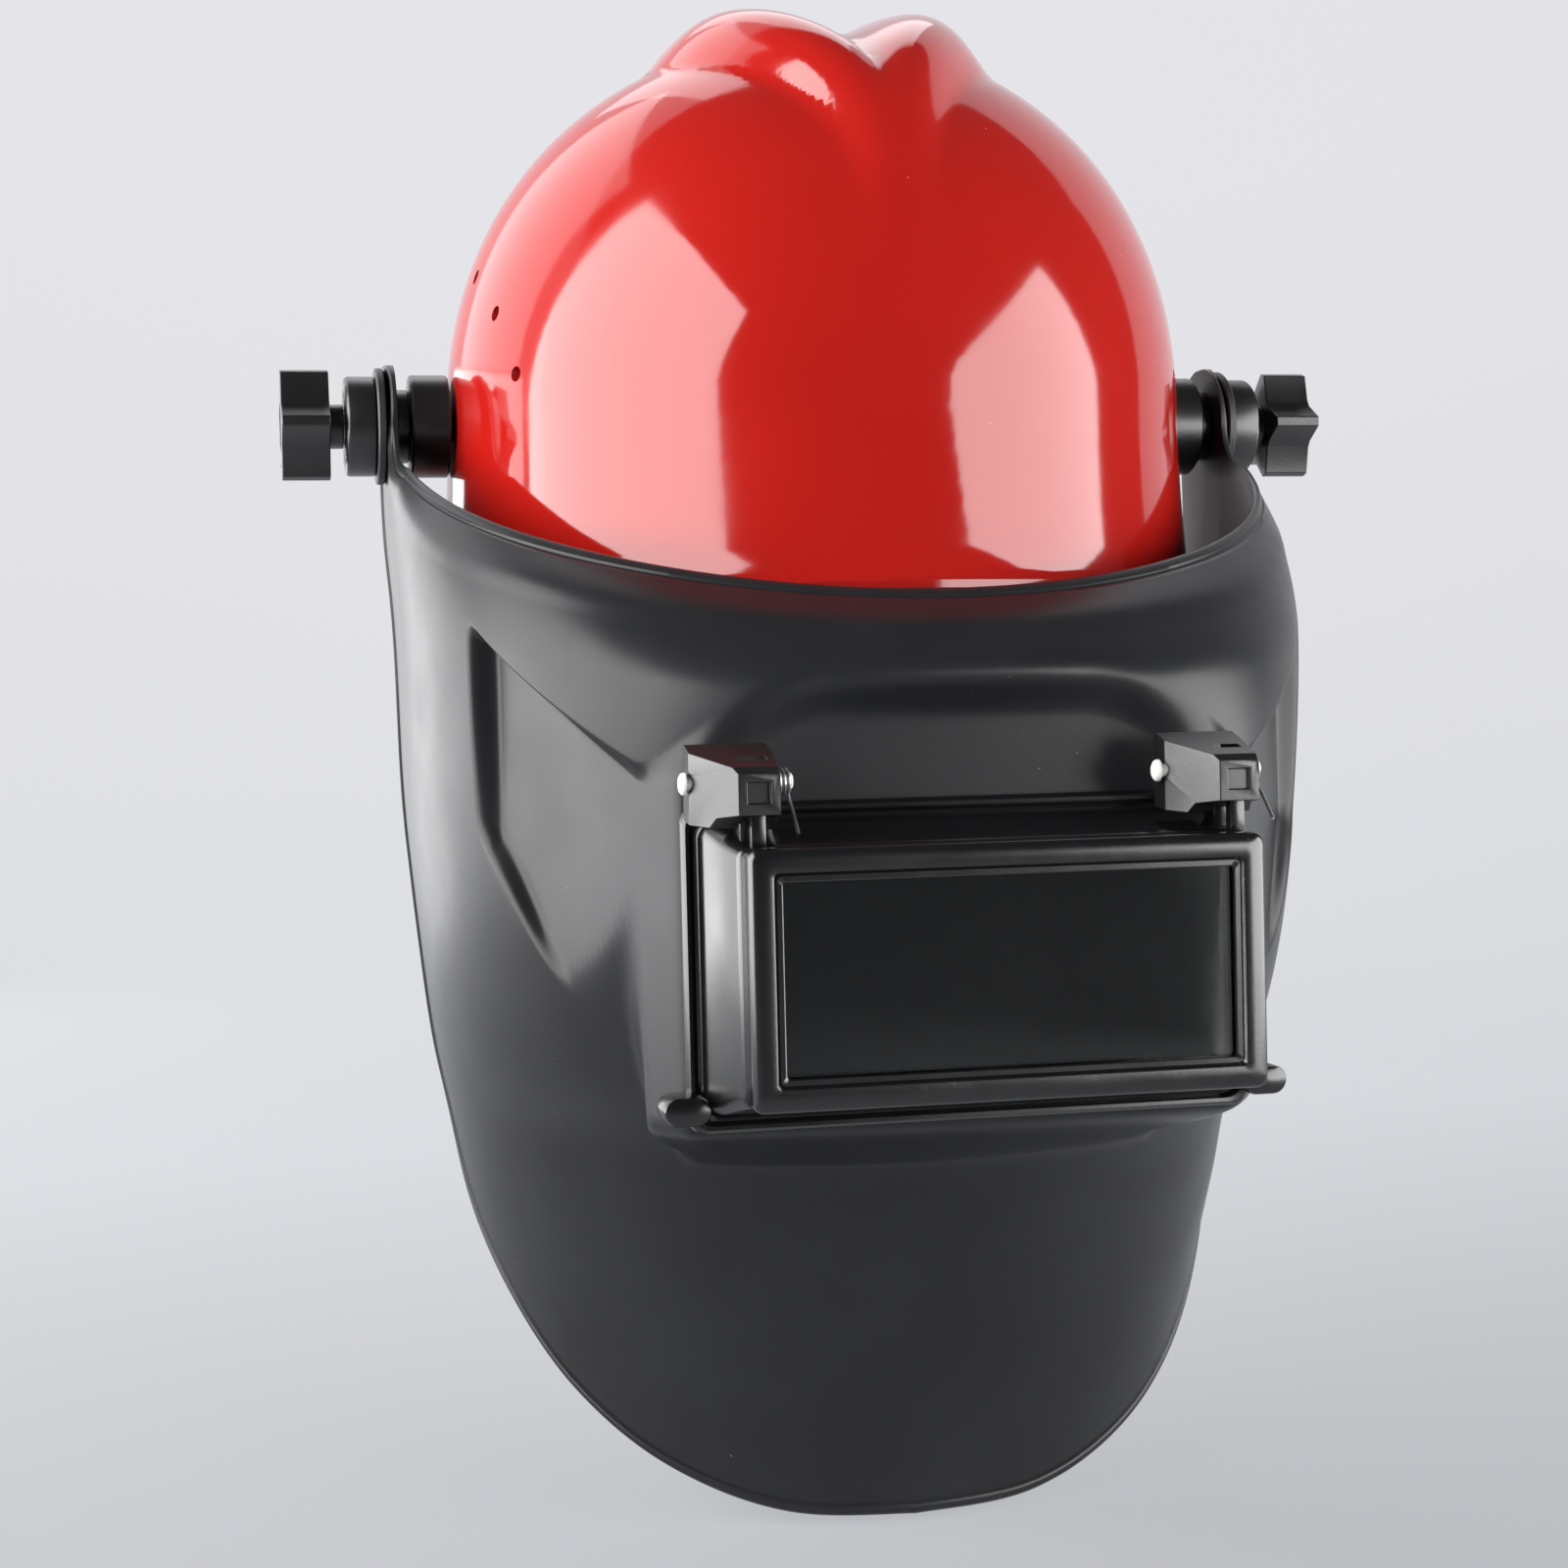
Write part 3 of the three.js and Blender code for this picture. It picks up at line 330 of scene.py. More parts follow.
MATERIALS = {
    "shell_red": shell_paint(),
    "mask_black": moulded("mask_black", 0.012, 0.016, 0.30, 0.37, 0.00002, specular=0.3),
    "frame_black": moulded("frame_black", 0.0035, 0.0055, 0.17, 0.26, 0.00001, 0.8, 0.05),
    "fitting_black": moulded("fitting_black", 0.0045, 0.0075, 0.28, 0.40, 0.00003, 0.6),
    "suspension_black": moulded("suspension_black", 0.009, 0.013, 0.45, 0.58, 0.00005, 0.4),
    "filter_glass": dark_filter(),
    "clear_plate": clear_sheet(),
    "pin_white": pin_plastic(),
    "steel": metal("steel", (0.45, 0.46, 0.47), (0.66, 0.67, 0.69), 0.32),
    "brass": metal("brass", (0.55, 0.38, 0.14), (0.78, 0.58, 0.28), 0.3),
    "gasket_rubber": gasket(),
    "foam": foam_skin(),
    "webbing": webbing(),
}
NODE_SLOT = {part["node"]: part["material_slot"] for part in frame["record"]["subparts"]}
NODE_BODY = {
    node: body for body, nodes in frame["record"]["behaviour"]["bodies"].items() for node in nodes
}


# ---------- meshes ----------

def add_piece(name, points, faces, node, sharp=40, uv=None):
    """A new piece in place of a CAD node: points in millimetres, the node's own body, slot and material."""
    mesh = bpy.data.meshes.new(name)
    mesh.from_pydata([tuple(p * MM) for p in np.asarray(points, float)], [], [tuple(f) for f in faces])
    mesh.validate()
    bm = bmesh.new()
    bm.from_mesh(mesh)
    bmesh.ops.recalc_face_normals(bm, faces=bm.faces)
    bm.to_mesh(mesh)
    bm.free()
    if uv is not None:
        layer = mesh.uv_layers.new(name="UVMap")
        for loop in mesh.loops:
            layer.data[loop.index].uv = uv[loop.vertex_index]
    return finish_piece(bpy.data.objects.new(name, mesh), node, sharp)


def finish_piece(piece, node, sharp):
    bpy.context.scene.collection.objects.link(piece)
    shade(piece.data, sharp)
    piece.data.materials.clear()
    piece.data.materials.append(MATERIALS[NODE_SLOT[node]])
    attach(piece, NODE_BODY[node])
    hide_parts(node)
    return piece


def shade(mesh, sharp):
    mesh.polygons.foreach_set("use_smooth", [True] * len(mesh.polygons))
    mesh.set_sharp_from_angle(angle=math.radians(sharp))


def bevel(piece, width, segments=2, angle=35):
    modifier = piece.modifiers.new("bevel", "BEVEL")
    modifier.width = width * MM
    modifier.segments = segments
    modifier.limit_method = "ANGLE"
    modifier.angle_limit = math.radians(angle)
    modifier.harden_normals = True
    return piece


def refined(node, width=0.4):
    """The CAD node's own shape with its facets merged and its edges rounded."""
    mesh = frame["nodes"][node].data.copy()
    mesh.name = node + "_fine"
    bm = bmesh.new()
    bm.from_mesh(mesh)
    bmesh.ops.remove_doubles(bm, verts=bm.verts, dist=1e-6)
    bmesh.ops.dissolve_limit(bm, angle_limit=math.radians(1), verts=bm.verts, edges=bm.edges)
    bm.to_mesh(mesh)
    bm.free()
    return bevel(finish_piece(bpy.data.objects.new(node + "_fine", mesh), node, 35), width)


def skin(outer, inner, closed=False):
    """Points and faces of a closed wall between two grids of rows x columns points."""
    rows, columns = outer.shape[:2]
    points = np.concatenate([outer.reshape(-1, 3), inner.reshape(-1, 3)])
    last = columns if closed else columns - 1
    faces = []

    def at(layer, r, c):
        return layer * rows * columns + r * columns + c % columns

    for r in range(rows - 1):
        for c in range(last):
            faces.append((at(0, r, c), at(0, r + 1, c), at(0, r + 1, c + 1), at(0, r, c + 1)))
            faces.append((at(1, r, c), at(1, r, c + 1), at(1, r + 1, c + 1), at(1, r + 1, c)))
    for r in (0, rows - 1):
        for c in range(last):
            faces.append((at(0, r, c), at(0, r, c + 1), at(1, r, c + 1), at(1, r, c)))
    if not closed:
        for c in (0, columns - 1):
            for r in range(rows - 1):
                faces.append((at(0, r, c), at(1, r, c), at(1, r + 1, c), at(0, r + 1, c)))
    return points, faces


def ring_sweep(profile, half_width, half_height, corner, growth=0.2, arc=6):
    """A closed ring: each profile point (outward, y) becomes a rounded rectangle in the X-Z plane."""
    loops = []
    for out, y in profile:
        width, height = half_width + out, half_height + out
        radius = max(corner + out * growth, 0.3)
        loop = []
        for quarter in range(4):
            sx, sz = ((1, 1), (-1, 1), (-1, -1), (1, -1))[quarter]
            for i in range(arc + 1):
                angle = radians(90 * quarter + 90 * i / arc)
                loop.append((sx * (width - radius) + radius * np.cos(angle), y,
                             WINDOW_Z + sz * (height - radius) + radius * np.sin(angle)))
        loops.append(loop)
    grid = np.array(loops)
    count, size = grid.shape[:2]
    faces = []
    for a in range(count):
        for b in range(size):
            c, d = (a + 1) % count, (b + 1) % size
            faces.append((a * size + b, a * size + d, c * size + d, c * size + b))
    return grid.reshape(-1, 3), faces


def turned(profile, side, segments=96):
    """A closed profile of (distance from the X axis, place along X) points, turned about the X axis."""
    angles = radians(np.arange(segments) * 360 / segments)
    points = [(side * x, r * np.cos(a), r * np.sin(a)) for r, x in profile for a in angles]
    count = len(profile)
    faces = []
    for a in range(count):
        for b in range(segments):
            c, d = (a + 1) % count, (b + 1) % segments
            faces.append((a * segments + b, a * segments + d, c * segments + d, c * segments + b))
    return np.array(points), faces


def cut_with(piece, cutters):
    """Cuts temporary objects out of a piece and applies the cut."""
    for cutter in cutters:
        modifier = piece.modifiers.new("cut", "BOOLEAN")
        modifier.operation = "DIFFERENCE"
        modifier.solver = "EXACT"
        modifier.object = cutter
    bpy.context.view_layer.update()
    evaluated = piece.evaluated_get(bpy.context.evaluated_depsgraph_get())
    mesh = bpy.data.meshes.new_from_object(evaluated)
    piece.modifiers.clear()
    piece.data = mesh
    for cutter in cutters:
        bpy.data.objects.remove(cutter)


def cutter_box(low, high):
    mesh = bpy.data.meshes.new("cutter")
    bm = bmesh.new()
    bmesh.ops.create_cube(bm, size=1)
    low, high = Vector(low) * MM, Vector(high) * MM
    scale = Matrix.Diagonal((*(high - low), 1))
    bmesh.ops.transform(bm, matrix=Matrix.Translation((low + high) / 2) @ scale, verts=bm.verts)
    bm.to_mesh(mesh)
    bm.free()
    return link_cutter(mesh)


def cutter_rod_x(radius, start, end, y, z):
    mesh = bpy.data.meshes.new("cutter")
    bm = bmesh.new()
    place = Matrix.Translation(Vector(((start + end) / 2, y, z)) * MM) @ Matrix.Rotation(math.pi / 2, 4, "Y")
    bmesh.ops.create_cone(bm, cap_ends=True, segments=48, radius1=radius * MM, radius2=radius * MM,
                          depth=abs(end - start) * MM, matrix=place)
    bm.to_mesh(mesh)
    bm.free()
    return link_cutter(mesh)


def link_cutter(mesh):
    cutter = bpy.data.objects.new("cutter", mesh)
    bpy.context.scene.collection.objects.link(cutter)
    return cutter


# ---------- helmet shell ----------

def crest_height(x, climb):
    """Height of the two ridges and the valley between them. climb: degrees up from the front."""
    apart = smooth(*CREST["split"], climb)
    centre = CREST["spread"] * apart
    half = mix(CREST["keel_half"], CREST["ridge_half"], apart)

    def ridge(offset):
        return np.cos(clamp01(np.abs(offset) / half) * math.pi / 2) ** CREST["sharpness"]

    heights = (ridge(x - centre), ridge(x + centre), CREST["valley"] * ridge(x / CREST["valley_width"]))
    total = sum(height ** CREST["blend"] for height in heights) ** (1 / CREST["blend"])
    fade = 1 - smooth(*CREST["fade"], climb)
    return CREST["height"] * smooth(*CREST["rise"], climb) * fade * np.minimum(total, 1)


def shell_point(bearing, lift, inset=0.0):
    sin, cos = np.sin(radians(bearing)), np.cos(radians(bearing))
    reach = np.where(cos > 0, SHELL["front"], SHELL["back"])
    power = 2 / SHELL["roundness"]
    across = np.maximum(np.cos(radians(lift)), 0) ** power
    up = np.sin(radians(lift)) ** power
    x = (SHELL["half_width"] - inset) * sin * across
    y = -(reach - inset) * cos * across
    z = (SHELL["height"] - inset) * up
    bump = crest_height(x, np.degrees(np.arctan2(z, -y)))
    away = np.stack(np.broadcast_arrays(x, y, z), -1)
    length = np.linalg.norm(away, axis=-1, keepdims=True)
    point = away * (1 + bump[..., None] / length)
    return point + np.array([0, SHELL["centre_y"], 0])


def skirt_point(bearing, drop, inset=0.0):
    sin, cos = np.sin(radians(bearing)), np.cos(radians(bearing))
    reach = np.where(cos > 0, SHELL["front"], SHELL["back"])
    grow = SHELL["flare"] * drop * drop - inset
    x = (SHELL["half_width"] + grow) * sin
    y = SHELL["centre_y"] - (reach + grow) * cos
    return np.stack(np.broadcast_arrays(x, y, SHELL["rim_z"] * drop), -1)


def shell_grid(inset):
    """Rows from the rim up, one column for each bearing; the outer grid carries the rolled gutter."""
    bearing = np.arange(0, 360, 1.5)
    lip = SHELL["gutter"] if inset == 0 else 0
    low = SHELL["rim_z"]
    rows = []
    if lip:
        height = SHELL["gutter_height"]
        for out, z in ((lip - 0.5, low), (lip, low + 0.4), (lip, low + height - 0.4),
                       (lip - 0.4, low + height), (0.7, low + height), (0.1, low + height + 0.8)):
            row = skirt_point(bearing, 1.0, -out)
            row[:, 2] = z
            rows.append(row)
    else:
        for z in (0, 0.4, 1.2, 2.2, 2.8, 3.4):
            row = skirt_point(bearing, 1.0, inset)
            row[:, 2] = low + z
            rows.append(row)
    for drop in np.linspace(0.9, 0, 9):
        rows.append(skirt_point(bearing, drop, inset))
    for lift in np.concatenate([np.linspace(1.5, 84, 66), np.linspace(85.5, 89.8, 5)]):
        rows.append(shell_point(bearing, lift, inset))
    return np.array(rows)


def make_shell():
    outer, inner = shell_grid(0.0), shell_grid(SHELL["wall"])
    rows, columns = outer.shape[:2]
    points, faces = skin(outer, inner, closed=True)
    wall = [f for f in faces if not all(v % (rows * columns) >= (rows - 1) * columns for v in f)]
    for layer in range(2):
        start = layer * rows * columns + (rows - 1) * columns
        wall.append(tuple(range(start, start + columns)))
    piece = add_piece("shell", points, wall, "helmet_shell", sharp=50)
    cutters = [cutter_rod_x(BOLT_BORE, -BOLT_REACH, BOLT_REACH, 0, 0)]
    for side in SIDES.values():
        for bearing, lift in VENTS:
            x, y, z = shell_point(np.array(side * bearing), np.array(lift))
            cutters.append(cutter_rod_x(VENT_RADIUS, x - 6, x + 6, y, z))
    cut_with(piece, cutters)
    shade(piece.data, 40)


# ---------- face mask ----------

def section(z):
    """Half width, reach and squareness of the mask at height z, by a smooth curve through SECTIONS."""
    heights = SECTIONS[:, 0]
    place = np.clip(np.searchsorted(-heights, -z), 1, len(heights) - 1)
    above, below = place - 1, place
    before, after = np.maximum(place - 2, 0), np.minimum(place + 1, len(heights) - 1)
    span = heights[above] - heights[below]
    t = clamp01((heights[above] - z) / span)[..., None]
    value = SECTIONS[:, 1:]
    start = (value[below] - value[before]) / np.maximum(1, heights[before] - heights[below])[..., None]
    end = (value[after] - value[above]) / np.maximum(1, heights[above] - heights[after])[..., None]
    start, end = start * span[..., None], end * span[..., None]
    t2, t3 = t * t, t * t * t
    blend = (value[above] * (2 * t3 - 3 * t2 + 1) + start * (t3 - 2 * t2 + t)
             + value[below] * (3 * t2 - 2 * t3) + end * (t3 - t2))
    return blend[..., 0], blend[..., 1], blend[..., 2]


def recess_top(side):
    """Height and width of the slope above the window platform and the cheek panels."""
    top = np.where(side < 31, mix(BROW_TOP, -90, smooth(12, 31, side)), mix(-90, -54, (side - 31) / 25))
    return top, mix(BROW_STEP, TOP_STEP, smooth(18, 34, side))


def cheek_foot(side):
    return mix(-152, -100, smooth(34, 58, side))


def recess_share(side, z):
    """How far a point lies inside the window platform and cheek panels, 0 to 1."""
    top, brow = recess_top(side)
    below = smooth(top + brow / 2, top - brow / 2, z)
    foot = cheek_foot(side)
    cheek = smooth(foot - FOOT_STEP / 2, foot + FOOT_STEP / 2, z)
    platform = smooth(PLATFORM_FOOT - 16, PLATFORM_FOOT, z)
    above = mix(platform, cheek, smooth(31, 42, side))
    inside = 1 - smooth(PANEL_EDGE - EDGE_HALF, PANEL_EDGE + EDGE_HALF, side)
    return below * above * inside


def mask_point(along, z):
    bearing = along / 2
    side = np.abs(bearing)
    front_side = np.minimum(side, 90)
    lip_rise = LIP_DROP * (1 - np.cos(radians(front_side)))
    width, reach, square = section(z - lip_rise * smooth(-110, -40, z))
    sin, cos = np.sin(radians(front_side)), np.cos(radians(front_side))
    body = ((sin / width) ** square + (cos / reach) ** square) ** (-1 / square)
    front = FRONT_REACH / np.maximum(cos, 0.05)
    cheek = CHEEK_REACH / np.cos(radians(front_side - CHEEK_BEARING))
    panel = soft_min(front, cheek, 2)
    facet = mix(panel, np.minimum(panel, body), smooth(31, 35, side))
    radius = mix(body, facet, recess_share(front_side, z))
    sign = np.sign(bearing)
    x = np.where(side > 90, sign * width, sign * radius * sin)
    y = np.where(side > 90, MASK_CENTRE_Y + (side - 90) * 2, MASK_CENTRE_Y - radius * cos)
    return np.stack(np.broadcast_arrays(x, y, z), -1)


def mask_normal(along, z):
    step = 0.6
    across = mask_point(along + step, z) - mask_point(along - step, z)
    up = mask_point(along, z + step) - mask_point(along, z - step)
    normal = np.cross(across, up)
    return normal / np.linalg.norm(normal, axis=-1, keepdims=True)


# Along a column end, 0 to 1: where the lip stops being straight and where the ear's arc begins
LIP_END, EAR_START = 0.78, 0.86
LIP_STRAIGHT = 162


def ear_arc(share, side):
    turn = radians((share - EAR_START) / (1 - EAR_START) * 80)
    return EAR_ALONG + side * EAR_RADIUS * np.cos(turn), EAR_RADIUS * np.sin(turn)


def lip_edge(share):
    def straight(along):
        return along, LIP_TOP - LIP_DROP * math.cos(math.radians(along / 2))

    if share <= LIP_END:
        return straight(share / LIP_END * LIP_STRAIGHT)
    if share >= EAR_START:
        return ear_arc(share, -1)
    t = (share - LIP_END) / (EAR_START - LIP_END)
    start, corner, end = straight(LIP_STRAIGHT), (EAR_ALONG - EAR_RADIUS, -12), ear_arc(EAR_START, -1)
    return tuple(start[k] * (1 - t) ** 2 + corner[k] * 2 * t * (1 - t) + end[k] * t * t for k in (0, 1))


def catmull_rom(points, share):
    """A uniform Catmull-Rom curve through points, share from 0 to 1."""
    place = share * (len(points) - 1)
    i = min(int(place), len(points) - 2)
    t = place - i
    p1, p2 = points[i], points[i + 1]
    p0 = points[i - 1] if i > 0 else 2 * p1 - p2
    p3 = points[i + 2] if i + 2 < len(points) else 2 * p2 - p1
    return 0.5 * (2 * p1 + (p2 - p0) * t + (2 * p0 - 5 * p1 + 4 * p2 - p3) * t * t
                  + (3 * p1 - p0 - 3 * p2 + p3) * t ** 3)


RIM_CURVE = RIM * np.array([2, 1])


def rim_edge(share):
    if share >= EAR_START:
        return ear_arc(share, 1)
    return tuple(catmull_rom(RIM_CURVE, share / EAR_START))


# Raised height of the mask's surface by distance from the lip and from the rim
LIP_RELIEF = [(0, -1.5), (0.4, -1.0), (1.0, -0.8), (1.9, -0.8), (2.15, -1.3), (2.6, -1.3),
              (2.9, -0.7), (6, -0.1), (9, 0.3), (11, 0.25), (14, 0)]
RIM_RELIEF = [(0, -0.6), (0.5, 0.2), (1.1, 0.6), (2.4, 0.6), (2.9, 0.2), (3.2, -0.2),
              (3.9, -0.2), (4.6, 0), (14, 0)]


# Distances of the close rows of points beside the lip and the rim, and the counts of rows between
NEAR_LIP = np.array([0, 0.2, 0.5, 1, 1.5, 1.9, 2.1, 2.25, 2.5, 2.65,
                     2.9, 3.6, 4.8, 6, 7.5, 9, 10, 11, 12.5, 14])
NEAR_RIM = np.array([0, 0.35, 0.7, 1.1, 1.8, 2.4, 2.8, 3.2, 3.7, 4.3, 5.0, 6.5])
MIDDLE_ROWS = (24, 16, 36, 14, 34)
FRONT_END = 80
FRONT_BEARINGS = np.concatenate([
    np.arange(0, 51, 0.8), np.arange(51, 56, 0.25), np.arange(56, FRONT_END, 0.8),
])


def mask_columns():
    """The lip end and the rim end, (along, z), of each column from the middle to one ear."""
    shares = np.linspace(0, EAR_START, 500)
    rim_along = [rim_edge(share)[0] for share in shares]

    def rim_share(bearing):
        return np.interp(2 * bearing, rim_along, shares)

    def lip_share(bearing):
        return 2 * bearing / LIP_STRAIGHT * LIP_END

    pairs = [(lip_share(bearing), rim_share(bearing)) for bearing in FRONT_BEARINGS]
    for t in np.linspace(0, 1, 64):
        pairs.append((mix(lip_share(FRONT_END), 1, t), mix(rim_share(FRONT_END), 1, t)))
    return [(np.array(lip_edge(lip)), np.array(rim_edge(rim))) for lip, rim in pairs]


def row_places(side, lip_z, span):
    """Distances from the lip of a column's rows, crowded where the recess has its slopes."""
    side = min(side, 60)
    top, brow = recess_top(side)
    over = float(smooth(31, 42, side))
    foot = mix(PLATFORM_FOOT - 8, cheek_foot(side), over)
    slope = mix(16, FOOT_STEP, over)
    marks = [
        lip_z - (top + brow / 2), lip_z - (top - brow / 2),
        lip_z - (foot + slope / 2), lip_z - (foot - slope / 2),
    ]
    start, end = NEAR_LIP[-1], span - NEAR_RIM[-1]
    stops = np.clip(np.array([start, *marks, end], float), start, end)
    rows = [np.linspace(a, b, count, endpoint=False) for a, b, count in zip(stops, stops[1:], MIDDLE_ROWS)]
    return np.concatenate([NEAR_LIP[:-1], *rows, span - NEAR_RIM[::-1]])


def mask_grid(inset):
    half = []
    shares_at_end = None
    for lip, rim in mask_columns():
        span = np.linalg.norm(rim - lip)
        side = lip[0] / 2
        if side <= 60:
            places = row_places(side, lip[1], span)
            middle = slice(len(NEAR_LIP) - 1, len(places) - len(NEAR_RIM))
            shares_at_end = (places[middle] - NEAR_LIP[-1]) / (span - NEAR_LIP[-1] - NEAR_RIM[-1])
        fit = min(1.0, span / 32)
        start, end = NEAR_LIP[-1] * fit, span - NEAR_RIM[-1] * fit
        middle_rows = mix(start, end, shares_at_end)
        places = np.concatenate([NEAR_LIP[:-1] * fit, middle_rows, span - NEAR_RIM[::-1] * fit])
        t = (places / span)[:, None]
        half.append((lip * (1 - t) + rim * t, places, span, fit))
    columns = []
    for sign, part in ((-1, half[:0:-1]), (1, half)):
        for place, places, span, fit in part:
            along, z = sign * place[:, 0], place[:, 1]
            relief = np.interp(places, *zip(*LIP_RELIEF)) + np.interp(span - places, *zip(*RIM_RELIEF))
            lift = relief * fit if inset == 0 else np.full(len(z), -float(inset))
            columns.append(mask_point(along, z) + mask_normal(along, z) * lift[:, None])
    return np.array(columns).transpose(1, 0, 2)


def make_mask():
    points, faces = skin(mask_grid(0.0), mask_grid(MASK_WALL))
    piece = add_piece("mask", points, faces, "face_mask", sharp=60)
    wide, tall = MASK_WINDOW
    cut_with(piece, [
        cutter_box((-wide, -170, WINDOW_Z - tall), (wide, -120, WINDOW_Z + tall)),
        cutter_rod_x(MASK_BORE, -BOLT_REACH, -100, 0, 0),
        cutter_rod_x(MASK_BORE, 100, BOLT_REACH, 0, 0),
    ])
    shade(piece.data, 50)


# ---------- pivots ----------

def softened(profile, radius=0.4):
    """The profile with each corner replaced by two points, as a small chamfer."""
    points = [np.array(p, float) for p in profile]
    result = []
    for i, point in enumerate(points):
        for other in (points[i - 1], points[(i + 1) % len(points)]):
            step = other - point
            result.append(point + step * min(0.4, radius / np.linalg.norm(step)))
    return result


def make_pivots():
    for name, side in SIDES.items():
        def node_ring(node, bore, outer):
            low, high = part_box(f"{node}_{name}")
            span = sorted((abs(low.x) / MM, abs(high.x) / MM))
            profile = [(bore, span[0]), (outer, span[0]), (outer, span[1]), (bore, span[1])]
            points, faces = turned(softened(profile), side)
            add_piece(f"{node}_{name}_turned", points, faces, f"{node}_{name}", sharp=30)

        node_ring("pivot_spacer", BOLT_BORE, 9.6)
        node_ring("friction_washer", BOLT_BORE, 15.2)
        disc = softened([(BOLT_BORE, 117.8), (13, 117.8), (13, 124.7), (12.2, 125.5), (9.4, 125.5),
                         (9.1, 125.0), (8.4, 125.0), (8.1, 125.5), (BOLT_BORE, 125.5)], 0.3)
        points, faces = turned(disc, side)
        add_piece(f"pressure_disc_{name}_turned", points, faces, f"pressure_disc_{name}", sharp=30)
        boss = softened([(BOLT_BORE, 98.6), (13.4, 98.6), (13.4, 108.6), (BOLT_BORE, 108.6)], 0.5)
        points, faces = turned(boss, side)
        add_piece(f"pivot_boss_{name}_turned", points, faces, f"pivot_boss_{name}", sharp=30)
        refined(f"pivot_bolt_{name}", 0.3)
        refined(f"star_knob_{name}", 0.35)
        refined(f"knob_insert_{name}", 0.25)


# ---------- filter window ----------

def make_window():
    flip_profile = [
        (0.0, -176.2), (0.0, -177.0), (0.25, -177.2), (1.3, -177.2), (1.5, -177.0), (1.7, -177.3),
        (2.0, -177.9), (2.3, -178.0), (5.0, -178.0), (6.2, -177.6), (6.8, -177.0), (7.0, -176.2),
        (7.0, -168.3), (6.8, -168.0), (5.4, -168.0), (5.2, -168.3), (5.2, -176.0), (0.2, -176.0),
    ]
    points, faces = ring_sweep(flip_profile, *OPENING, 0.8)
    frame_piece = add_piece("flip_frame_ring", points, faces, "flip_frame", sharp=35)
    pegs = []
    for side in SIDES.values():
        x = side * HINGE["x"]
        pegs.append(box_points((x - 1.6, -171.2, -106.0), (x + 1.6, -168.0, -97.2)))
    add_solids(frame_piece, pegs)
    housing_profile = [
        (7.5, -165.9), (6.9, -167.2), (6.4, -167.7), (5.4, -167.7), (5.2, -167.3), (9.0, -146.5),
        (0.0, -146.5), (0.0, -143.3), (14.6, -143.3), (15.2, -143.7), (15.5, -144.6), (15.2, -145.7),
        (14.5, -146.3), (13.7, -146.2), (13.2, -145.5), (12.7, -145.1), (11.9, -145.4), (11.4, -146.0),
    ]
    points, faces = ring_sweep(housing_profile, *OPENING, 1.4)
    housing = add_piece("window_housing_ring", points, faces, "window_housing", sharp=35)
    extras = [box_points((-2.7, -145.1, -99.8), (0.7, -143.3, -97.1))]
    for side in SIDES.values():
        x = side * HINGE["x"]
        extras.append(box_points((x - 2.3, -163, -105.6), (x + 2.3, -157, -89)))
        extras.append(stadium_points(side * LUG["x"], LUG["z"], LUG["width"], LUG["height"],
                                     LUG["front"], LUG["back"]))
    add_solids(housing, extras)
    for node, width in (("safety_plate", 0.2), ("safety_plate_retainer", 0.2), ("clamp_frame", 0.3),
                        ("cover_plate", 0.2), ("filter_gasket", 0.15), ("filter_glass", 0.2),
                        ("filter_retainer", 0.15)):
        refined(node, width)
    for name in SIDES:
        refined(f"hinge_arm_{name}", 0.35)
        make_pin(name)
        make_spring(name)


def box_points(low, high):
    (x0, y0, z0), (x1, y1, z1) = low, high
    points = [(x, y, z) for x in (x0, x1) for y in (y0, y1) for z in (z0, z1)]
    faces = [(0, 1, 3, 2), (4, 6, 7, 5), (0, 4, 5, 1), (2, 3, 7, 6), (0, 2, 6, 4), (1, 5, 7, 3)]
    return points, faces


def stadium_points(x, z, width, height, front, back, arc=12):
    radius = height / 2
    outline = []
    for side, start in ((1, -90), (-1, 90)):
        for i in range(arc + 1):
            angle = radians(start + 180 * i / arc)
            middle = x + side * (width / 2 - radius)
            outline.append((middle + radius * np.cos(angle), z + radius * np.sin(angle)))
    count = len(outline)
    rows = [(0.75, front), (0.93, front + 0.35), (1.0, front + 1.0), (1.0, back)]
    points = [(x + (px - x) * s, y, z + (pz - z) * s) for s, y in rows for px, pz in outline]
    faces = [tuple(range(count)), tuple(range(3 * count, 4 * count))]
    for r in range(len(rows) - 1):
        for c in range(count):
            d = (c + 1) % count
            faces.append((r * count + c, r * count + d, (r + 1) * count + d, (r + 1) * count + c))
    return points, faces


def add_solids(piece, solids):
    """Adds closed solids to a piece's mesh. Boxes are rounded at their edges."""
    bm = bmesh.new()
    bm.from_mesh(piece.data)
    for points, faces in solids:
        verts = [bm.verts.new(Vector(p) * MM) for p in points]
        made = [bm.faces.new([verts[i] for i in f]) for f in faces]
        bmesh.ops.recalc_face_normals(bm, faces=made)
        if len(points) == 8:
            edges = {e for f in made for e in f.edges}
            bmesh.ops.bevel(bm, geom=list(edges), offset=0.35 * MM, segments=2, profile=0.5,
                            affect="EDGES")
    bm.to_mesh(piece.data)
    bm.free()
    shade(piece.data, 35)


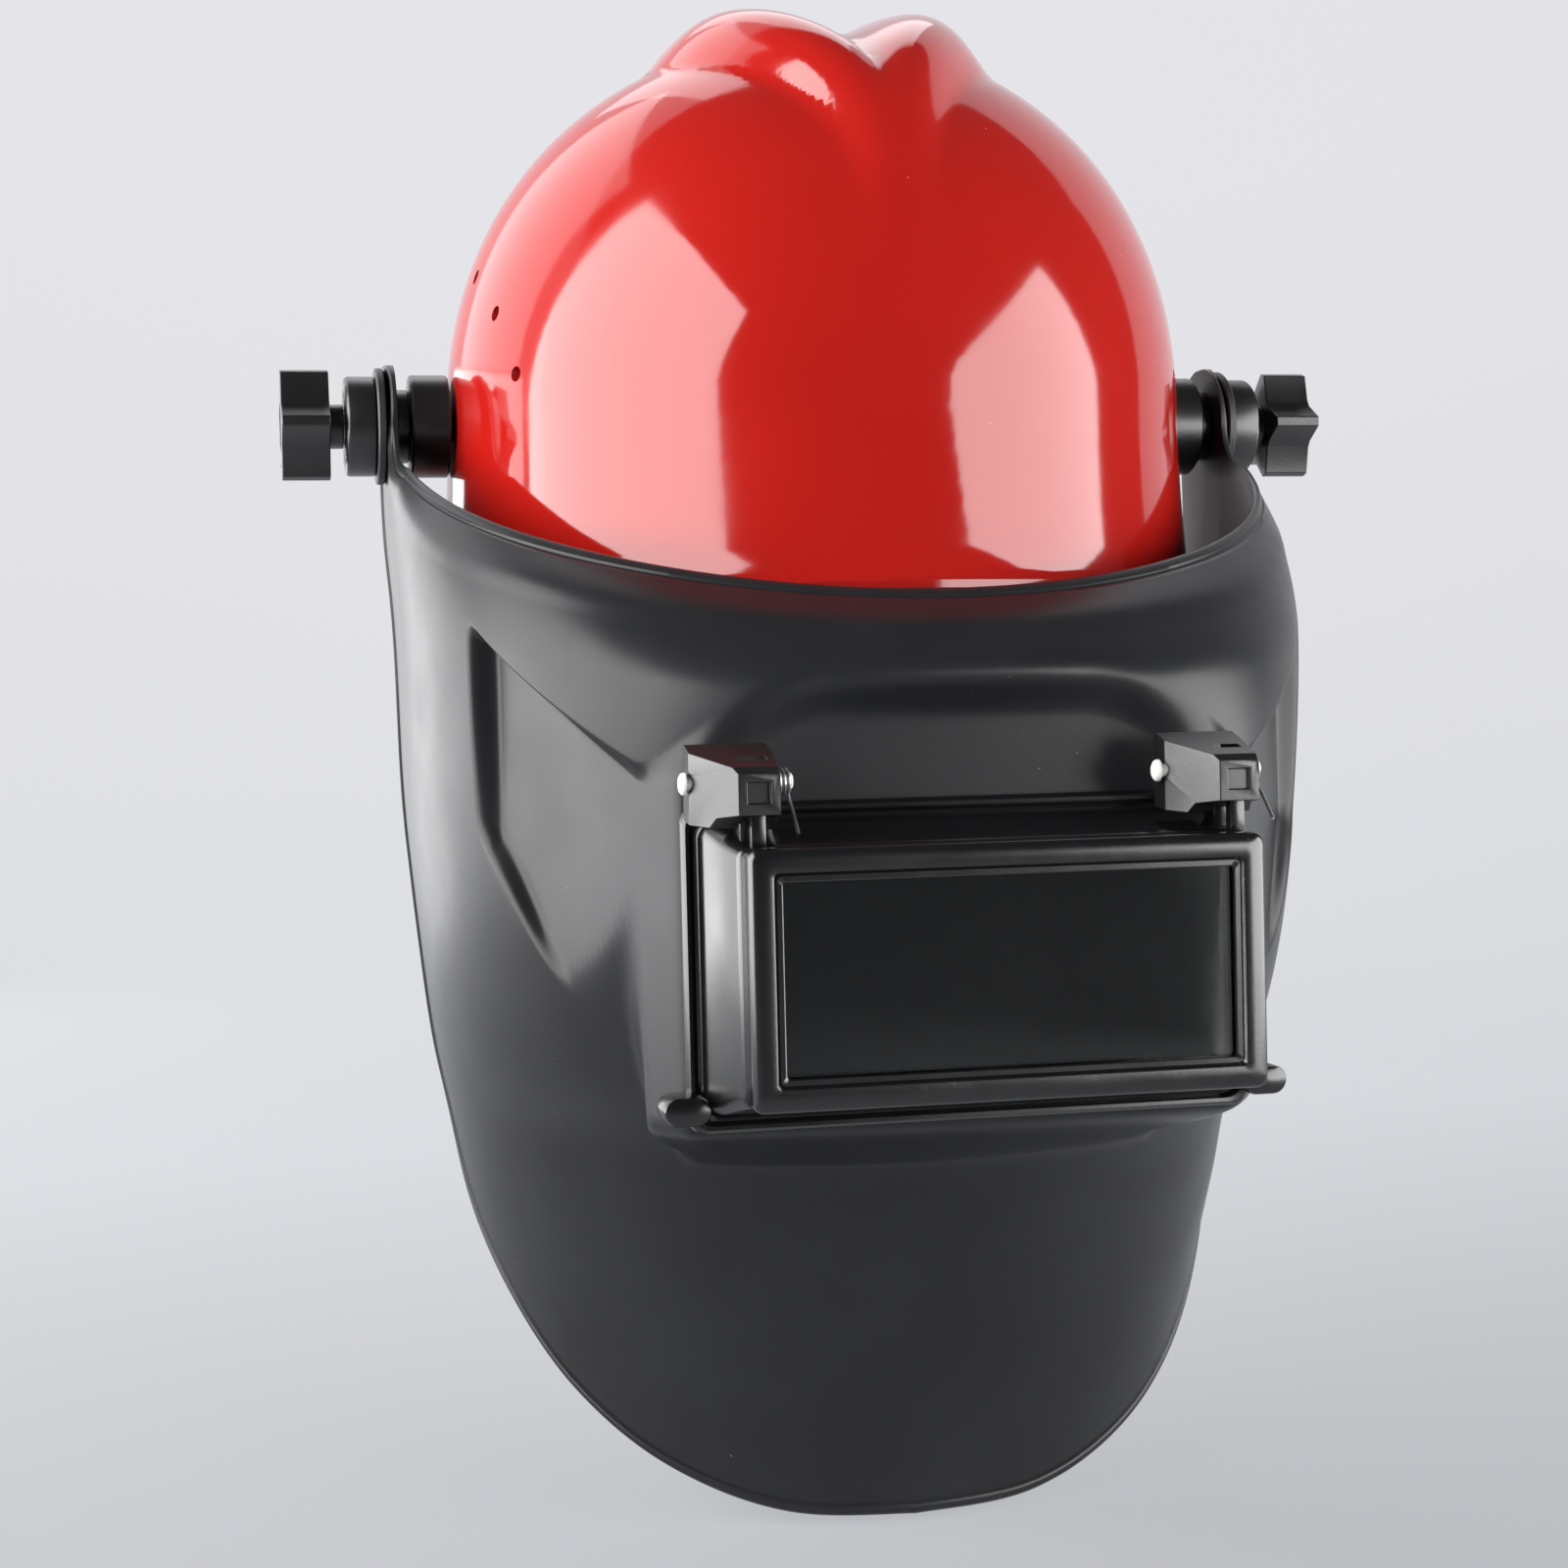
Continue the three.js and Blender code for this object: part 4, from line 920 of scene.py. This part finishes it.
def make_pin(name):
    low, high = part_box(f"hinge_pin_{name}")
    start, end = low.x / MM, high.x / MM
    y, z = (low.y + high.y) / 2 / MM, (low.z + high.z) / 2 / MM
    profile = [(0.01, start), (1.6, start), (2.2, start + 0.4), (2.4, start + 0.8),
               (2.4, start + 1.3), (1.5, start + 1.5), (1.5, end - 1.2), (2.0, end - 1.0),
               (2.0, end - 0.5), (1.4, end), (0.01, end)]
    points, faces = turned(profile, 1, 32)
    add_piece(f"hinge_pin_{name}_turned", points + np.array([0, y, z]), faces, f"hinge_pin_{name}", sharp=50)


def make_spring(name):
    """The torsion spring's wire, swept along the CAD route with a round section."""
    start = SIDES[name] * HINGE["x"] + HINGE["arm_inner"] + HINGE["spring_gap"]
    y, z = HINGE["y"], HINGE["z"]
    radius, pitch, steps = SPRING["radius"], SPRING["pitch"], SPRING["steps"]
    route = [(start, y + 7, z - 9.4)]
    for i in range(int(SPRING["turns"] * steps) + 1):
        angle = i / steps * 2 * math.pi
        route.append((start + i / steps * pitch, y + radius * math.cos(angle), z + radius * math.sin(angle)))
    route.append((start + SPRING["turns"] * pitch, y - 9.4, z - 10.8))
    points, faces = tube(np.array(route), SPRING["wire"])
    add_piece(f"hinge_spring_{name}_wire", points, faces, f"hinge_spring_{name}", sharp=60)


def tube(route, radius, sides=8):
    tangents = np.gradient(route, axis=0)
    tangents /= np.linalg.norm(tangents, axis=1, keepdims=True)
    normal = np.cross(tangents[0], (0.3, 0.2, 0.9))
    points = []
    for place, tangent in zip(route, tangents):
        normal = normal - tangent * (normal @ tangent)
        normal /= np.linalg.norm(normal)
        other = np.cross(tangent, normal)
        for i in range(sides):
            angle = 2 * math.pi * i / sides
            points.append(place + radius * (normal * math.cos(angle) + other * math.sin(angle)))
    count = len(route)
    faces = [tuple(range(sides)), tuple(range((count - 1) * sides, count * sides))]
    for r in range(count - 1):
        for c in range(sides):
            d = (c + 1) % sides
            faces.append((r * sides + c, r * sides + d, (r + 1) * sides + d, (r + 1) * sides + c))
    return np.array(points), faces


# ---------- headgear ----------

BAND = dict(half_width=78, half_length=97, centre_y=4, z=-46, height=26, wall=2, nape_drop=30, end=170)
STRAP = dict(width=20, wall=1.3, half_run=88, top=60, foot=-20, spread=45, crossing=2.3)


def band_point(bearing, up, out):
    from_front = min(abs(bearing), 360 - abs(bearing))
    drop = BAND["nape_drop"] * float(smooth(95, 150, from_front))
    angle = math.radians(bearing)
    return np.array([(BAND["half_width"] + out) * math.sin(angle),
                     BAND["centre_y"] - (BAND["half_length"] + out) * math.cos(angle), BAND["z"] - drop + up])


def band_sweep(start, end, section_at, columns):
    """A closed section of (up, out) points swept round the head, as section_at gives it along the way."""
    loops = []
    for c in range(columns + 1):
        share = c / columns
        loops.append([band_point(mix(start, end, share), up, out) for up, out in section_at(share)])
    grid = np.array(loops)
    count, size = grid.shape[:2]
    faces = [tuple(range(size)), tuple(range((count - 1) * size, count * size))]
    for a in range(count - 1):
        for b in range(size):
            d = (b + 1) % size
            faces.append((a * size + b, a * size + d, (a + 1) * size + d, (a + 1) * size + b))
    return grid.reshape(-1, 3), faces


def rounded_section(height, inside, outside, radius, arc=5):
    """A rounded rectangle of (up, out) points."""
    half = height / 2
    section_points = []
    corners = ((half - radius, outside - radius, 0), (-half + radius, outside - radius, 90),
               (-half + radius, inside + radius, 180), (half - radius, inside + radius, 270))
    for up, out, start in corners:
        for i in range(arc + 1):
            angle = math.radians(start + 90 * i / arc)
            section_points.append((up + radius * math.cos(angle), out + radius * math.sin(angle)))
    return section_points


def pad_section(height, inside, outside, crown, radius):
    """A foam section: flat against the band, crowned towards the head. crown from 0 at the ends to 1."""
    flat = rounded_section(height, inside, outside, radius, 6)
    middle = (inside + outside) / 2
    result = []
    for up, out in flat:
        swell = (1 - (up / (height / 2)) ** 2) * crown
        result.append((up, out - (0.8 * swell if out < middle else 0)))
    return result


def make_headgear():
    band = rounded_section(BAND["height"], 0, BAND["wall"], 0.7)
    points, faces = band_sweep(-BAND["end"], BAND["end"], lambda share: band, 170)
    add_piece("headband_strip", points, faces, "headband", sharp=40)

    def brow(share):
        crown = float(smooth(0, 0.08, share) * smooth(1, 0.92, share))
        ripple = 0.5 + 0.5 * math.cos(share * 26 * math.pi)
        return pad_section(mix(24, 30, crown), -4.0 - 0.35 * crown * (1 - ripple), -0.35, crown * 0.6, 1.5)

    points, faces = band_sweep(-SWEATBAND_REACH, SWEATBAND_REACH, brow, 160)
    foam = add_piece("sweatband_foam", points, faces, "sweatband", sharp=60)

    def nape(share):
        crown = float(smooth(0, 0.2, share) * smooth(1, 0.8, share))
        return pad_section(mix(24, 32, crown), -7.3, -2.75, crown, 1.8)

    points, faces = band_sweep(180 - NAPE_PAD_REACH, 180 + NAPE_PAD_REACH, nape, 60)
    pad = add_piece("nape_pad_foam", points, faces, "nape_pad", sharp=60)
    make_strap("crown_strap_lower", STRAP["spread"], 0.0)
    make_strap("crown_strap_upper", -STRAP["spread"], STRAP["crossing"])
    for key in ("front_left", "front_right", "rear_left", "rear_right"):
        refined(f"suspension_key_{key}", 0.8)
    refined("ratchet_housing", 0.6)
    refined("ratchet_cover", 0.5)
    refined("ratchet_knob", 0.6)
    refined("ratchet_pinion", 0.15)


def make_strap(node, turn, lift):
    """Webbing over the head: a flat strap with rounded selvedges that arches from key to key."""
    columns = 120
    rise = STRAP["top"] - STRAP["foot"] + lift
    half = STRAP["width"] / 2
    wall = STRAP["wall"]
    section_points = [(-half + 0.4, 0), (-half, wall / 2), (-half + 0.4, wall)]
    section_points += [(x, wall) for x in np.linspace(-half + 2, half - 2, 9)]
    section_points += [(half - 0.4, wall), (half, wall / 2), (half - 0.4, 0)]
    section_points += [(x, 0) for x in np.linspace(half - 2, -half + 2, 9)]
    points, uv = [], []
    length = 0.0
    previous = None
    for c in range(columns + 1):
        angle = math.radians(mix(-90, 90, c / columns))
        centre = np.array([0, STRAP["half_run"] * math.sin(angle), STRAP["foot"] + rise * math.cos(angle)])
        length += 0 if previous is None else np.linalg.norm(centre - previous)
        previous = centre
        for across, out in section_points:
            points.append((across, (STRAP["half_run"] + out) * math.sin(angle),
                           STRAP["foot"] + (rise + out) * math.cos(angle)))
            uv.append((length * MM, across * MM))
    a = math.radians(turn)
    rotate = np.array([[math.cos(a), -math.sin(a), 0], [math.sin(a), math.cos(a), 0], [0, 0, 1]])
    placed = np.array(points) @ rotate.T + np.array([0, BAND["centre_y"], 0])
    size = len(section_points)
    faces = [tuple(range(size)), tuple(range(columns * size, (columns + 1) * size))]
    for r in range(columns):
        for b in range(size):
            d = (b + 1) % size
            faces.append((r * size + b, r * size + d, (r + 1) * size + d, (r + 1) * size + b))
    add_piece(node + "_webbing", placed, faces, node, sharp=50, uv=uv)


# ---------- studio ----------

CAMERA = dict(place=(-163.17, -704.64, -77.20), lens=60.75, turn=12.29, dip=1.58, roll=-1.34)


def make_camera():
    turn, dip, roll = (math.radians(CAMERA[k]) for k in ("turn", "dip", "roll"))
    forward = Vector((math.sin(turn) * math.cos(dip), math.cos(turn) * math.cos(dip), -math.sin(dip)))
    level = Vector((math.cos(turn), -math.sin(turn), 0))
    over = level.cross(forward)
    right = math.cos(roll) * level + math.sin(roll) * over
    up = -math.sin(roll) * level + math.cos(roll) * over
    camera = bpy.data.cameras.new("camera")
    camera.lens = CAMERA["lens"]
    camera.sensor_width = 36
    camera.clip_end = 50
    holder = bpy.data.objects.new("camera", camera)
    rotation = Matrix((right, up, -forward)).transposed().to_4x4()
    holder.matrix_world = Matrix.Translation(Vector(CAMERA["place"]) * MM) @ rotation
    bpy.context.scene.collection.objects.link(holder)
    bpy.context.scene.camera = holder


def softbox(name, bearing, height, roll, distance, width, tall, radiance):
    """A soft light that faces the helmet. bearing: degrees from the front, + towards +X. Lengths in m."""
    light = bpy.data.lights.new(name, "AREA")
    light.shape = "RECTANGLE"
    light.size, light.size_y = width, tall
    light.energy = radiance * math.pi * width * tall
    holder = bpy.data.objects.new(name, light)
    angle, rise = math.radians(bearing), math.radians(height)
    away = Vector((math.sin(angle) * math.cos(rise), -math.cos(angle) * math.cos(rise), math.sin(rise)))
    facing = away.to_track_quat("Z", "Y").to_matrix() @ Matrix.Rotation(math.radians(roll), 3, "Z")
    holder.matrix_world = Matrix.Translation(away * distance) @ facing.to_4x4()
    bpy.context.scene.collection.objects.link(holder)


def overhead(name, place, size, radiance):
    """A soft light above, aimed at the helmet."""
    light = bpy.data.lights.new(name, "AREA")
    light.size = size
    light.energy = radiance * math.pi * size * size
    holder = bpy.data.objects.new(name, light)
    holder.location = place
    holder.rotation_euler = Vector(place).to_track_quat("Z", "Y").to_euler()
    bpy.context.scene.collection.objects.link(holder)


# The paper sweep, in m: where the floor ends and the radius of the curve up to the wall
PAPER_END = 2.6
PAPER_CURVE = 1.6


def make_backdrop():
    """A pale paper sweep: floor, long curve and wall, with a painted glow from its own emission, bright at
    the back and dim near the front.
    """
    floor_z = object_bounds()[0][2] - 0.0015
    profile = [(y, floor_z) for y in (-4.0, -1.0, 0.0, PAPER_END - PAPER_CURVE)]
    for angle in range(6, 91, 6):
        turn = math.radians(angle)
        y = PAPER_END - PAPER_CURVE * (1 - math.sin(turn))
        profile.append((y, floor_z + PAPER_CURVE * (1 - math.cos(turn))))
    profile.append((PAPER_END, 5.0))
    points = [(x, y, z) for y, z in profile for x in (-7, 7)]
    faces = [(2 * i, 2 * i + 1, 2 * i + 3, 2 * i + 2) for i in range(len(profile) - 1)]
    mesh = bpy.data.meshes.new("backdrop")
    mesh.from_pydata(points, [], faces)
    mesh.polygons.foreach_set("use_smooth", [True] * len(faces))
    g = Graph("backdrop_paper_painted_glow")
    split = g.nodes.new("ShaderNodeSeparateXYZ")
    g.wire(g.place, split.inputs["Vector"])
    depth = g.nodes.new("ShaderNodeMapRange")
    depth.inputs["From Min"].default_value = -1.0
    depth.inputs["From Max"].default_value = PAPER_END
    g.wire(split.outputs["Y"], depth.inputs["Value"])
    # painted light: the paper glows by emission, graded from dim near the front to bright at the back
    painted_backdrop_glow = g.ramp(depth.outputs["Result"], [(0.0, (0.10, 0.10, 0.105)), (0.25, (0.42, 0.43, 0.455)),
                                            (0.42, (0.58, 0.60, 0.625)), (0.95, (0.74, 0.735, 0.77))])
    g.wire(painted_backdrop_glow, g.shader.inputs["Emission Color"])
    tint = g.ramp(g.noise(0.8, 2), [(0.3, (0.09, 0.09, 0.093)), (0.7, (0.10, 0.10, 0.103))])
    mesh.materials.append(g.finish(tint, g.ramp(g.noise(3, 2), [(0.3, 0.85), (0.7, 0.95)]),
                                   Emission_Strength=1.0, Specular_IOR_Level=0.0))
    backdrop = bpy.data.objects.new("backdrop", mesh)
    bpy.context.scene.collection.objects.link(backdrop)


def make_studio():
    world = bpy.data.worlds.new("studio")
    world.use_nodes = True
    background = world.node_tree.nodes["Background"]
    background.inputs["Color"].default_value = (0.80, 0.83, 0.88, 1)
    background.inputs["Strength"].default_value = 0.08
    bpy.context.scene.world = world
    make_backdrop()
    softbox("softbox_left", -80, 8, -27, 1.0, 1.13, 1.39, 7.5)
    softbox("softbox_right", 56, -9, 30, 1.0, 1.2, 1.15, 7)
    softbox("low_card", 33, -13, 0, 0.95, 0.42, 0.14, 0.8)
    softbox("rim_low", -139, -4, 0, 1.15, 1.0, 0.6, 2.6)
    softbox("rim_high", -137, 32, 0, 1.3, 0.9, 1.0, 1.3)
    overhead("overhead", (0.2, 1.3, 1.6), 1.2, 1.2)
    bpy.context.scene.view_settings.view_transform = "Standard"


make_camera()
make_shell()
make_mask()
make_pivots()
make_window()
make_headgear()
make_studio()
